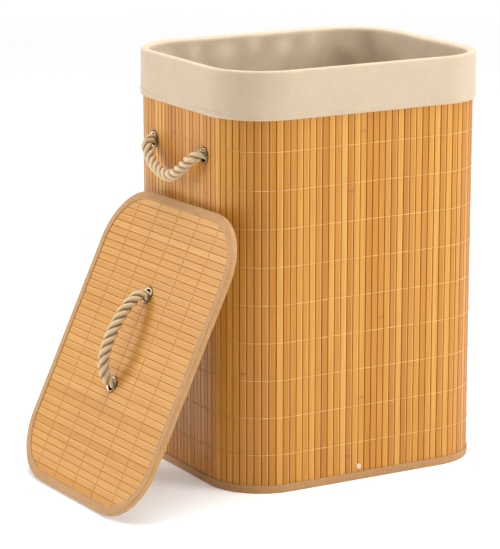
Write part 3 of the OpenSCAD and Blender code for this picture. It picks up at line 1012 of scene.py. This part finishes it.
def lid_slat_tree():
    tree, g, given, out = geometry_tree(
        "lid_slats",
        [
            ("Length", FLOAT, LID_L - 2 * LID_IN),
            ("Width", FLOAT, LID_W - 2 * LID_IN),
            ("Corner Radius", FLOAT, LID_R - LID_IN),
            ("Slats", "NodeSocketInt", LID_SLATS),
            ("Slat Width", FLOAT, (LID_L - 2 * LID_IN) / LID_SLATS - LID_SLAT_GAP),
            ("Slat Thickness", FLOAT, SLAT_T),
            ("Edge Radius", FLOAT, 0.0006),
        ],
    )
    length, width = given.outputs["Length"], given.outputs["Width"]
    step = g.math("DIVIDE", length, given.outputs["Slats"])
    start = g.add(
        "ShaderNodeCombineXYZ",
        {0: g.plus(g.mul(length, -0.5), g.mul(step, 0.5))},
    )
    stride = g.add("ShaderNodeCombineXYZ", {0: step})
    row = g.add(
        "GeometryNodeMeshLine",
        {"Count": given.outputs["Slats"], "Start Location": start.outputs[0], "Offset": stride.outputs[0]},
    )
    slat = slat_shape(
        g,
        given.outputs["Slat Width"],
        given.outputs["Slat Thickness"],
        width,
        given.outputs["Edge Radius"],
    )
    lie = g.add("GeometryNodeTransform", {"Geometry": slat, "Rotation": (math.radians(-90), 0, 0)})
    centred = g.add("ShaderNodeCombineXYZ", {1: g.mul(width, -0.5)})
    shifted = g.add("GeometryNodeTransform", {"Geometry": lie.outputs[0], "Translation": centred.outputs[0]})
    placed = g.add("GeometryNodeInstanceOnPoints", {"Points": row.outputs[0], "Instance": shifted.outputs[0]})
    tone_and_finish(g, placed.outputs[0], LID_BAMBOO, out)
    # Slat ends stop at the rounded outline.
    finish = out.inputs[0].links[0].from_socket
    place = g.add("GeometryNodeInputPosition").outputs[0]
    spot = g.add("ShaderNodeSeparateXYZ", {0: place})
    radius = given.outputs["Corner Radius"]
    over = g.sub(g.math("ABSOLUTE", spot.outputs[0]),
        g.sub(g.mul(length, 0.5), radius),
    )
    over = g.math("MAXIMUM", over, 0.0)
    chord = g.math(
        "SQRT",
        g.math(
            "MAXIMUM",
            g.sub(g.mul(radius, radius), g.mul(over, over)),
            0.0,
        ),
    )
    limit = g.plus(g.sub(g.mul(width, 0.5), radius), chord)
    kept = g.math("MINIMUM", g.math("MAXIMUM", spot.outputs[1], g.mul(limit, -1.0)), limit)
    trimmed = g.add("ShaderNodeCombineXYZ", {0: spot.outputs[0], 1: kept, 2: spot.outputs[2]})
    moved = g.add("GeometryNodeSetPosition", {"Geometry": finish, "Position": trimmed.outputs[0]})
    g.tree.links.new(moved.outputs[0], out.inputs[0])
    return tree


def cut_holes(piece, places, radius, length):
    """Bores round holes through a piece; each place is a middle point and a direction."""
    cutters = bmesh.new()
    for middle, way in places:
        turn = Vector(way).to_track_quat("Z", "Y").to_matrix().to_4x4()
        bmesh.ops.create_cone(
            cutters,
            cap_ends=True,
            segments=32,
            radius1=radius,
            radius2=radius,
            depth=length,
            matrix=Matrix.Translation(middle) @ turn,
        )
    mesh = bpy.data.meshes.new("cutters")
    cutters.to_mesh(mesh)
    cutters.free()
    tool = add_object("cutters", mesh)
    modifier = piece.modifiers.new("holes", "BOOLEAN")
    modifier.object = tool
    modifier.operation = "DIFFERENCE"
    modifier.solver = "MANIFOLD"
    apply_modifiers(piece)
    bpy.data.objects.remove(tool)
    bpy.data.meshes.remove(mesh)


def wall_hole_places():
    places = []
    for sx in (-1, 1):
        for sy in (-1, 1):
            places.append((Vector((sx * BODY_W / 2, sy * GRIP_W / 2, GRIP_Z)), (1, 0, 0)))
    return places


def lid_hole_places():
    return [(Vector((LID_GRIP_X + s * LID_GRIP_W / 2, 0, LID_FACE)), (0, 0, 1)) for s in (-1, 1)]


def make_wall_slats():
    slats = grow("bamboo_wall_slats", wall_slat_tree())
    cut_holes(slats, wall_hole_places(), HOLE_R, 0.04)
    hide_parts("wall_slats")
    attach(slats, "hamper")


def make_lid_slats():
    slats = grow("bamboo_lid_slats", lid_slat_tree())
    slats.data.transform(Matrix.Translation((LID_L / 2, 0, LID_SLAT_Z + SLAT_T / 2)))
    cut_holes(slats, lid_hole_places(), HOLE_R, 0.04)
    slats.data.transform(LID_PLACE)
    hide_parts("lid_slats")
    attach(slats, "lid")


make_wall_slats()
make_lid_slats()


# ---------------------------------------------------------------- sewing threads and stitches


def ring_curve(g, width, depth, radius):
    loop = g.add("GeometryNodeCurvePrimitiveQuadrilateral", {"Width": width, "Height": depth})
    soft = g.add(
        "GeometryNodeFilletCurve", {"Curve": loop.outputs[0], "Radius": radius, "Count": 40}, mode="POLY"
    )
    return soft.outputs[0]


def thread_dash(g, length, thick, rise, dip, points=7, sides=5):
    """One thread over a slat, along X: it lies at -Y and its ends dip by dip into the gaps."""
    start = g.add("ShaderNodeCombineXYZ", {0: g.mul(length, -0.5)})
    end = g.add("ShaderNodeCombineXYZ", {0: g.mul(length, 0.5)})
    line = g.add("GeometryNodeCurvePrimitiveLine", {"Start": start.outputs[0], "End": end.outputs[0]})
    fine = g.add("GeometryNodeResampleCurve", {"Curve": line.outputs[0], "Count": points}, mode="COUNT")
    spot = g.add("ShaderNodeSeparateXYZ", {0: g.add("GeometryNodeInputPosition").outputs[0]})
    share = g.math("ABSOLUTE", g.math("DIVIDE", spot.outputs[0], g.mul(length, 0.5)))
    sink = g.mul(g.math("POWER", share, 6.0), dip)
    drop = g.add("ShaderNodeCombineXYZ", {1: g.sub(sink, rise)})
    bent = g.add("GeometryNodeSetPosition", {"Geometry": fine.outputs[0], "Offset": drop.outputs[0]})
    round_ = g.add(
        "GeometryNodeCurvePrimitiveCircle",
        {"Resolution": sides, "Radius": g.mul(thick, 0.5)},
    )
    tube = g.add(
        "GeometryNodeCurveToMesh",
        {"Curve": bent.outputs[0], "Profile Curve": round_.outputs[0], "Fill Caps": True},
    )
    return tube.outputs[0]


def realize_threads(g, instances, material, out):
    """Realizes dashes, gives each a random number as thread_tone and sets the material."""
    real = g.add("GeometryNodeRealizeInstances", {"Geometry": instances})
    island = g.add("GeometryNodeInputMeshIsland")
    number = g.add("FunctionNodeRandomValue", {"ID": island.outputs[0], "Seed": 3}, data_type="FLOAT")
    pair = g.add("ShaderNodeCombineXYZ", {0: number.outputs[1]})
    named = g.add(
        "GeometryNodeStoreNamedAttribute",
        {"Geometry": real.outputs[0], "Name": "thread_tone", "Value": pair.outputs[0]},
        data_type="FLOAT2",
        domain="CORNER",
    )
    last = g.add("GeometryNodeSetMaterial", {"Geometry": named.outputs[0], "Material": material})
    g.tree.links.new(last.outputs[0], out.inputs[0])


def wall_thread_tree():
    tree, g, given, out = geometry_tree(
        "wall_threads",
        [
            ("Width", FLOAT, BODY_W - SLAT_T),
            ("Depth", FLOAT, BODY_D - SLAT_T),
            ("Corner Radius", FLOAT, CORNER_R - SLAT_T / 2),
            ("Slats", "NodeSocketInt", SLAT_COUNT),
            ("Rows", "NodeSocketInt", THREAD_ROWS),
            ("Lowest Row", FLOAT, THREAD_ROW_LOW),
            ("Row Pitch", FLOAT, THREAD_PITCH),
            ("Thread Thickness", FLOAT, 0.00080),
        ],
    )
    ring = ring_curve(g, given.outputs["Width"], given.outputs["Depth"], given.outputs["Corner Radius"])
    spots = g.add("GeometryNodeCurveToPoints", {"Curve": ring, "Count": given.outputs["Slats"]}, mode="COUNT")
    tangent = g.add("ShaderNodeSeparateXYZ", {0: spots.outputs["Tangent"]})
    turn = g.add("ShaderNodeCombineXYZ", {2: g.math("ARCTAN2", tangent.outputs[1], tangent.outputs[0])})
    dash = thread_dash(g, 0.0104, given.outputs["Thread Thickness"], 0.00145, 0.0011)
    row = g.add(
        "GeometryNodeInstanceOnPoints",
        {"Points": spots.outputs[0], "Instance": dash, "Rotation": turn.outputs[0]},
    )
    low = g.add("ShaderNodeCombineXYZ", {2: given.outputs["Lowest Row"]})
    pitch = g.add("ShaderNodeCombineXYZ", {2: given.outputs["Row Pitch"]})
    levels = g.add(
        "GeometryNodeMeshLine",
        {"Count": given.outputs["Rows"], "Start Location": low.outputs[0], "Offset": pitch.outputs[0]},
    )
    rows = g.add("GeometryNodeInstanceOnPoints", {"Points": levels.outputs[0], "Instance": row.outputs[0]})
    realize_threads(g, rows.outputs[0], PALE_THREAD, out)
    return tree


def lid_thread_tree():
    tree, g, given, out = geometry_tree(
        "lid_threads",
        [
            ("Length", FLOAT, LID_L - 2 * LID_IN),
            ("Slats", "NodeSocketInt", LID_SLATS),
            ("Lines", "NodeSocketInt", 5),
            ("Line Pitch", FLOAT, THREAD_PITCH),
            ("Thread Thickness", FLOAT, 0.00085),
        ],
    )
    step = g.math("DIVIDE", given.outputs["Length"], given.outputs["Slats"])
    first = g.plus(g.mul(given.outputs["Length"], -0.5), g.mul(step, 1.5))
    start = g.add("ShaderNodeCombineXYZ", {0: first})
    stride = g.add("ShaderNodeCombineXYZ", {0: step})
    inner = g.sub(given.outputs["Slats"], 2)
    row = g.add(
        "GeometryNodeMeshLine", {
            "Count": inner, "Start Location": start.outputs[0], "Offset": stride.outputs[0]
        }
    )
    dash = thread_dash(g, step, given.outputs["Thread Thickness"], 0.00015, 0.0011)
    lying = g.add("GeometryNodeTransform", {"Geometry": dash, "Rotation": (math.radians(-90), 0, 0)})
    line = g.add("GeometryNodeInstanceOnPoints", {"Points": row.outputs[0], "Instance": lying.outputs[0]})
    edge = g.mul(g.mul(g.sub(given.outputs["Lines"], 1), -0.5),
        given.outputs["Line Pitch"],
    )
    side = g.add("ShaderNodeCombineXYZ", {1: edge})
    pitch = g.add("ShaderNodeCombineXYZ", {1: given.outputs["Line Pitch"]})
    lines = g.add(
        "GeometryNodeMeshLine",
        {"Count": given.outputs["Lines"], "Start Location": side.outputs[0], "Offset": pitch.outputs[0]},
    )
    whole = g.add("GeometryNodeInstanceOnPoints", {"Points": lines.outputs[0], "Instance": line.outputs[0]})
    realize_threads(g, whole.outputs[0], LID_THREAD_SHADED, out)
    return tree


def stitch_tree():
    """A row of short stitches round a rounded rectangle."""
    tree, g, given, out = geometry_tree(
        "stitch_row",
        [
            ("Width", FLOAT, 0.4),
            ("Depth", FLOAT, 0.3),
            ("Corner Radius", FLOAT, 0.08),
            ("Pitch", FLOAT, 0.0042),
            ("Stitch", FLOAT, 0.0029),
            ("Thickness", FLOAT, 0.00055),
            ("Thread", "NodeSocketMaterial", None),
        ],
    )
    ring = ring_curve(g, given.outputs["Width"], given.outputs["Depth"], given.outputs["Corner Radius"])
    spots = g.add(
        "GeometryNodeCurveToPoints", {"Curve": ring, "Length": given.outputs["Pitch"]}, mode="LENGTH"
    )
    tangent = g.add("ShaderNodeSeparateXYZ", {0: spots.outputs["Tangent"]})
    wander = g.add("FunctionNodeRandomValue", {2: -0.05, 3: 0.05, "Seed": 9}, data_type="FLOAT")
    heading = g.plus(g.math("ARCTAN2", tangent.outputs[1], tangent.outputs[0]), wander.outputs[1])
    turn = g.add("ShaderNodeCombineXYZ", {2: heading})
    dash = thread_dash(g, given.outputs["Stitch"], given.outputs["Thickness"], 0.0, 0.0, 5, 5)
    placed = g.add(
        "GeometryNodeInstanceOnPoints",
        {"Points": spots.outputs[0], "Instance": dash, "Rotation": turn.outputs[0]},
    )
    realize_threads(g, placed.outputs[0], given.outputs["Thread"], out)
    return tree


STITCH_ROW = stitch_tree()


def stitch_row(name, size, out, height, thread, pitch=0.0042, stitch=0.0029):
    """Stitches round the outline size (width, depth, radius), out metres outside it, at a height."""
    width, depth, radius = size
    row = grow(
        name,
        STITCH_ROW,
        {
            "Width": width + 2 * out,
            "Depth": depth + 2 * out,
            "Corner Radius": radius + out,
            "Pitch": pitch,
            "Stitch": stitch,
            "Thread": thread,
        },
    )
    row.data.transform(Matrix.Translation((0, 0, height)))
    return row


def make_threads():
    wall = grow("wall_sewing_threads", wall_thread_tree())
    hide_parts("wall_threads")
    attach(wall, "hamper")
    lid = grow("lid_sewing_threads", lid_thread_tree())
    lid.data.transform(Matrix.Translation((LID_L / 2, 0, LID_FACE)))
    cut_holes(lid, lid_hole_places(), HOLE_R, 0.04)
    lid.data.transform(LID_PLACE)
    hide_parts("lid_threads")
    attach(lid, "lid")


make_threads()


# ---------------------------------------------------------------- tape, liner and linings

BODY_SIZE = (BODY_W, BODY_D, CORNER_R)
LID_SIZE = (LID_L, LID_W, LID_R)


def mm(pairs):
    return [(a * MM, b * MM) for a, b in pairs]


def set_look(piece, material):
    piece.data.materials.clear()
    piece.data.materials.append(material)


def make_bottom_tape():
    profile = mm(
        [(-0.20, 11.8), (-0.55, 12.05), (-0.95, 11.7), (-1.15, 10.2), (-1.0, 8.6), (-1.1, 5.0), (-1.0, 1.2),
         (
             -0.55, 0.15
         ), (0.2, 0.0), (4.2, 0.0), (4.8, 0.5), (4.8, 11.4), (4.4, 12.0), (4.0, 11.4), (4.0, 0.95),
         (-0.2, 0.95)]
    )

    def shape(x, y, z, out_x, out_y, along, step):
        ripple = 0.00012 * math.sin(along * 210) * ease((z - 0.004) / 0.008)
        return x + out_x * ripple, y + out_y * ripple, z

    tape = loft_ring("bottom_edge_tape", profile, 320, BODY_SIZE, True, shape)
    recalc_normals(tape)
    set_look(tape, TAPE_CLOTH)
    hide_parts("bottom_tape")
    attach(tape, "hamper")
    row = stitch_row("bottom_tape_stitches", BODY_SIZE, 0.00105, 0.0090, TAPE_THREAD)
    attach(row, "hamper")


def make_lid_tape():
    profile = mm(
        [(12.0, 7.8), (12.0, 8.3), (11.6, 8.6), (10.0, 8.62), (9.0, 8.5), (5.0, 8.62), (1.6, 8.6), (0.5, 8.3),
         (0.05, 7.5), (0.0, 6.0), (0.0, 2.6), (0.05, 1.1), (0.5, 0.3), (1.6, 0.0), (11.4, 0.0), (12.0, 0.3),
         (12.0, 0.75), (11.4, 0.8), (0.95, 0.85), (0.95, 7.65), (11.4, 7.7)]
    )
    seam = (LID_L / 2 - LID_R) + 0.5 * math.pi * LID_R + 0.032

    def shape(x, y, z, out_x, out_y, along, step):
        lap = ease((along - seam) / 0.0006) * ease((seam + 0.013 - along) / 0.003)
        lift = 0.00045 * lap
        grow_out = lift * (1.0 if z > 0.0004 else 0.3)
        return x + out_x * grow_out, y + out_y * grow_out, z + (lift if z > 0.0078 else 0.0)

    tape = loft_ring("lid_edge_tape", profile, 700, LID_SIZE, True, shape)
    recalc_normals(tape)
    tape.data.transform(LID_PLACE @ Matrix.Translation((LID_L / 2, 0, 0)))
    set_look(tape, TAPE_CLOTH)
    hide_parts("lid_tape")
    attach(tape, "lid")
    row = stitch_row("lid_tape_stitches", LID_SIZE, -0.0094, 0.0086, TAPE_THREAD)
    row.data.transform(LID_PLACE @ Matrix.Translation((LID_L / 2, 0, 0)))
    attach(row, "lid")


def cloth_disc(name, size, inset, height, thickness, rise=lambda x, y: 0.0):
    """A flat cloth cut to the outline; rise(x, y) lifts its top off the flat."""
    width, depth, radius = size
    count, rings = 240, 26
    rows, _ = outline(width, depth, radius, inset, count)
    spine = (width - depth) / 2
    points, faces, uvs = [], [], []
    for k in range(rings):
        share = 1 - k / rings
        for x, y, *_ in rows:
            core = max(-spine, min(spine, x))
            px, py = core + (x - core) * share, y * share
            points.append((px, py, height + rise(px, py) * ease((1 - share) * 5)))
    for k in range(rings - 1):
        for i in range(count):
            j = (i + 1) % count
            faces.append((k * count + i, k * count + j, (k + 1) * count + j, (k + 1) * count + i))
    last = (rings - 1) * count
    faces.append(tuple(last + i for i in range(count)))
    for face in faces:
        uvs += [(points[v][0], points[v][1]) for v in face]
    piece = mesh_from(name, points, faces, uvs)
    recalc_normals(piece)
    thicken(piece, thickness)
    return piece


def thicken(piece, thickness, offset=0.0):
    modifier = piece.modifiers.new("cloth", "SOLIDIFY")
    modifier.thickness = thickness
    modifier.offset = offset
    apply_modifiers(piece)


# Folds of the liner: place along the outline, lean, width, depth and where they start below the rim.
FOLDS = [
    (0.445, 0.10, 0.016, 0.0055, 0.004),
    (0.520, -0.16, 0.022, 0.0060, 0.012),
    (0.585, 0.26, 0.013, 0.0048, 0.002),
    (0.630, 0.36, 0.015, 0.0062, 0.006),
    (0.685, 0.30, 0.012, 0.0050, 0.002),
    (0.735, 0.22, 0.018, 0.0066, 0.008),
    (0.790, 0.14, 0.013, 0.0052, 0.004),
    (0.850, -0.14, 0.020, 0.0050, 0.010),
    (0.940, 0.05, 0.024, 0.0036, 0.020),
    (0.075, 0.14, 0.020, 0.0046, 0.010),
    (0.160, -0.20, 0.016, 0.0050, 0.006),
    (1.190, 0.16, 0.018, 0.0046, 0.008),
    (1.280, -0.12, 0.022, 0.0052, 0.006),
    (0.270, 0.08, 0.022, 0.0036, 0.020),
]


def liner_fold(along, below, whole):
    """How far the liner stands into the bag, at a distance below the rim."""
    total = 0.0
    for place, lean, width, depth, start in FOLDS:
        away = (along - place - lean * below + whole / 2) % whole - whole / 2
        total += depth * math.exp(-((away / width) ** 2)) * ease((below - start) / 0.028)
    return total


def make_liner():
    outside = [(-1.9, 542.5), (-1.9, 534.0), (-2.2, 532.7), (-2.8, 532.5), (-3.3, 533.4), (-3.35, 536.0),
               (-3.35, 541.0), (-3.0, 545.0), (-2.75, 552.0), (-2.7, 562.0), (-2.75, 574.0), (-2.6, 586.0),
               (-2.3, 594.0), (-2.1, 596.8), (-1.6, 598.5), (-0.5, 599.3), (1.0, 599.4), (3.2, 599.2),
               (5.8, 598.7), (7.6, 597.6), (8.5, 595.6), (8.8, 592.0)]
    levels = [8.0 + (586.0 - 8.0) * (1 - (k / 54)) for k in range(55)]
    inside = [(8.8 + 5.0 * ease((34 - z) / 34), z) for z in levels] + [(16.0, 7.6), (24.0, 7.6)]
    _, whole = outline(*BODY_SIZE, 0.0, 4)

    def shape(x, y, z, out_x, out_y, along, step):
        below = BODY_H - z
        if step > 0.085:
            near = min((abs(math.hypot(abs(y) - GRIP_W / 2, z - GRIP_Z))), 0.2) if abs(x) > 0.19 else 0.2
            calm = ease((near - 0.018) / 0.05) * ease((z - 0.02) / 0.12)
            flat_side = ease((abs(out_y) - 0.15) / 0.5)
            push = -liner_fold(along, below, whole) * calm * (0.35 + 0.65 * flat_side)
            push -= 0.0006 * (1 + math.sin(along * 61 + z * 9)) * calm
        else:
            push = 0.00035 * math.sin(along * 37 + 1.0) * ease((below - 0.01) / 0.05)
            push += 0.00025 * math.sin(along * 83 + z * 40) * ease((below - 0.01) / 0.05)
        return x + out_x * push, y + out_y * push, z

    liner = loft_ring("cloth_liner", mm(outside + inside), 460, BODY_SIZE, False, shape)
    recalc_normals(liner)
    thicken(liner, LINER_T)
    cut_holes(liner, wall_hole_places(), HOLE_R, 0.04)
    set_look(liner, LINER_CLOTH)
    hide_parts("liner_cuff", "liner_bag")
    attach(liner, "hamper")
    row = stitch_row("hem_stitches", BODY_SIZE, 0.00395, 0.5415, HEM_THREAD)
    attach(row, "hamper")

    def rumple(x, y):
        return 0.0016 + 0.0014 * math.sin(x * 31 + y * 17) + 0.0008 * math.sin(x * 67 - y * 53)

    floor = cloth_disc("cloth_liner_floor", BODY_SIZE, 0.0165, 0.0089, LINER_T, rumple)
    set_look(floor, LINER_CLOTH)
    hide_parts("liner_floor")
    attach(floor, "hamper")


def make_backings():
    profile = mm([(2.8, 1.0), (2.8, 300.0), (2.8, 597.0), (3.8, 597.0), (3.8, 300.0), (3.8, 1.0)])
    back = loft_ring("slat_backing", profile, 200, BODY_SIZE, True)
    recalc_normals(back)
    cut_holes(back, wall_hole_places(), HOLE_R, 0.04)
    set_look(back, BACKING_CLOTH)
    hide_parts("wall_backing")
    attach(back, "hamper")
    under = cloth_disc("base_cloth_cover", BODY_SIZE, 0.0052, 0.0005, 0.0006)
    set_look(under, LINING_CLOTH)
    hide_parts("base_cloth")
    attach(under, "hamper")

    def quilt(x, y):
        return -0.0002 - 0.0002 * math.sin(x * 90) * math.sin(y * 90)

    lining = cloth_disc("lid_back_lining", LID_SIZE, 0.0020, 0.0014, 0.0006, quilt)
    lining.data.transform(Matrix.Translation((LID_L / 2, 0, 0)))
    cut_holes(lining, lid_hole_places(), HOLE_R, 0.04)
    lining.data.transform(LID_PLACE)
    set_look(lining, LINING_CLOTH)
    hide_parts("lid_lining")
    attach(lining, "lid")


make_bottom_tape()
make_lid_tape()
make_liner()
make_backings()


# ---------------------------------------------------------------- eyelets


def eyelet_mesh(stack):
    """Rolled eyelet along +X; eyelet_uv runs along the profile from the bore (0) to the outer edge."""
    back = -stack * 1000
    roll = [(9.15, 1.05), (9.7, 1.65), (10.5, 1.9), (11.3, 1.7), (12.0, 1.15), (12.35, 0.5), (12.4, 0.02)]
    barrel = [(9.8, 0.0), (9.8, back + 0.02), (11.1, back - 0.1), (11.1, back - 0.6), (10.0, back - 0.8)]
    profile = [(8.95, back - 0.6), (8.95, 0.2)] + roll + barrel
    marks = [0.0, 0.1, 0.25, 0.38, 0.5, 0.62, 0.75, 0.88, 1.0, 1.0, 1.0, 1.0, 0.5, 0.3]
    count = 48
    points, faces, uvs = [], [], []
    for r, out in profile:
        for i in range(count):
            turn = 2 * math.pi * i / count
            points.append((out * MM, r * MM * math.cos(turn), r * MM * math.sin(turn)))
    rows = len(profile)
    for k in range(rows):
        upper = (k + 1) % rows
        for i in range(count):
            j = (i + 1) % count
            faces.append((k * count + i, k * count + j, upper * count + j, upper * count + i))
            a, b = marks[k], marks[upper]
            uvs += [(i / count, a), (i / count, a), (i / count, b), (i / count, b)]
    return points, faces, uvs


def make_eyelets(name, place, half, stack, body):
    points, faces, uvs = eyelet_mesh(stack)
    both, all_faces = [], []
    for side in (1, -1):
        base = len(both)
        move = place @ Matrix.Translation((0, side * half, 0))
        both += [move @ Vector(p) for p in points]
        all_faces += [tuple(base + v for v in face) for face in faces]
    mesh = bpy.data.meshes.new(name)
    mesh.from_pydata([tuple(p) for p in both], [], all_faces)
    layer = mesh.uv_layers.new(name="eyelet_uv")
    layer.data.foreach_set("uv", np.asarray(uvs + uvs, np.float32).ravel())
    mesh.update()
    mesh.polygons.foreach_set("use_smooth", [True] * len(mesh.polygons))
    piece = add_object(name, mesh)
    recalc_normals(piece)
    piece.data.materials.append(EYELET_BRASS)
    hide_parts(name.replace("_rolled", ""))
    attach(piece, body)


make_eyelets("left_eyelets_rolled", LEFT_PLACE, GRIP_W / 2, WALL_STACK, "hamper")
make_eyelets("right_eyelets_rolled", RIGHT_PLACE, GRIP_W / 2, WALL_STACK, "hamper")
make_eyelets("lid_eyelets_rolled", LID_GRIP_PLACE, LID_GRIP_W / 2, LID_STACK, "lid")


# ---------------------------------------------------------------- CAD nodes that stay


def dress(node, material):
    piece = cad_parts[node]
    piece.data.materials.clear()
    piece.data.materials.append(material)


dress("top_tape", BACKING_CLOTH_SOLID)
for node_name in ("base_board", "lid_board"):
    dress(node_name, FIBRE_BOARD)
for node_name in ("top_hoop", "bottom_hoop"):
    dress(node_name, HOOP_WIRE)
for place_name in ("left", "right", "lid"):
    dress(place_name + "_washers", EYELET_METAL)
dress("front_stud", CREAM_STUD)
dress("front_stud_washer", EYELET_METAL)


# ---------------------------------------------------------------- floor and light


def make_stage():
    mesh = bpy.data.meshes.new("floor")
    mesh.from_pydata([(-30, -30, 0), (30, -30, 0), (30, 30, 0), (-30, 30, 0)], [], [(0, 1, 2, 3)])
    floor = add_object("floor", mesh)
    floor.data.materials.append(floor_material())
    world = bpy.data.worlds.new("studio")
    bpy.context.scene.world = world
    world.use_nodes = True
    world.node_tree.nodes["Background"].inputs["Color"].default_value = (1, 1, 1, 1)
    world.node_tree.nodes["Background"].inputs["Strength"].default_value = 0.16


def add_light(name, place, target, size, power):
    data = bpy.data.lights.new(name, "AREA")
    data.shape = "RECTANGLE"
    data.size, data.size_y = size
    data.energy = power
    light = bpy.data.objects.new(name, data)
    bpy.context.scene.collection.objects.link(light)
    light.location = place
    light.rotation_euler = (Vector(target) - Vector(place)).to_track_quat("-Z", "Y").to_euler()


make_stage()
add_light("left_softbox", (-2.8, 2.1, 1.7), (-0.1, 0, 0.3), (1.4, 1.4), 68)
add_light("right_softbox", (2.4, -3.0, 1.8), (0, 0, 0.3), (1.4, 1.4), 78)
add_light("top_softbox", (0.3, -0.2, 3.6), (0, 0, 0.2), (3.0, 3.0), 190)
bpy.context.scene.view_settings.view_transform = "Standard"
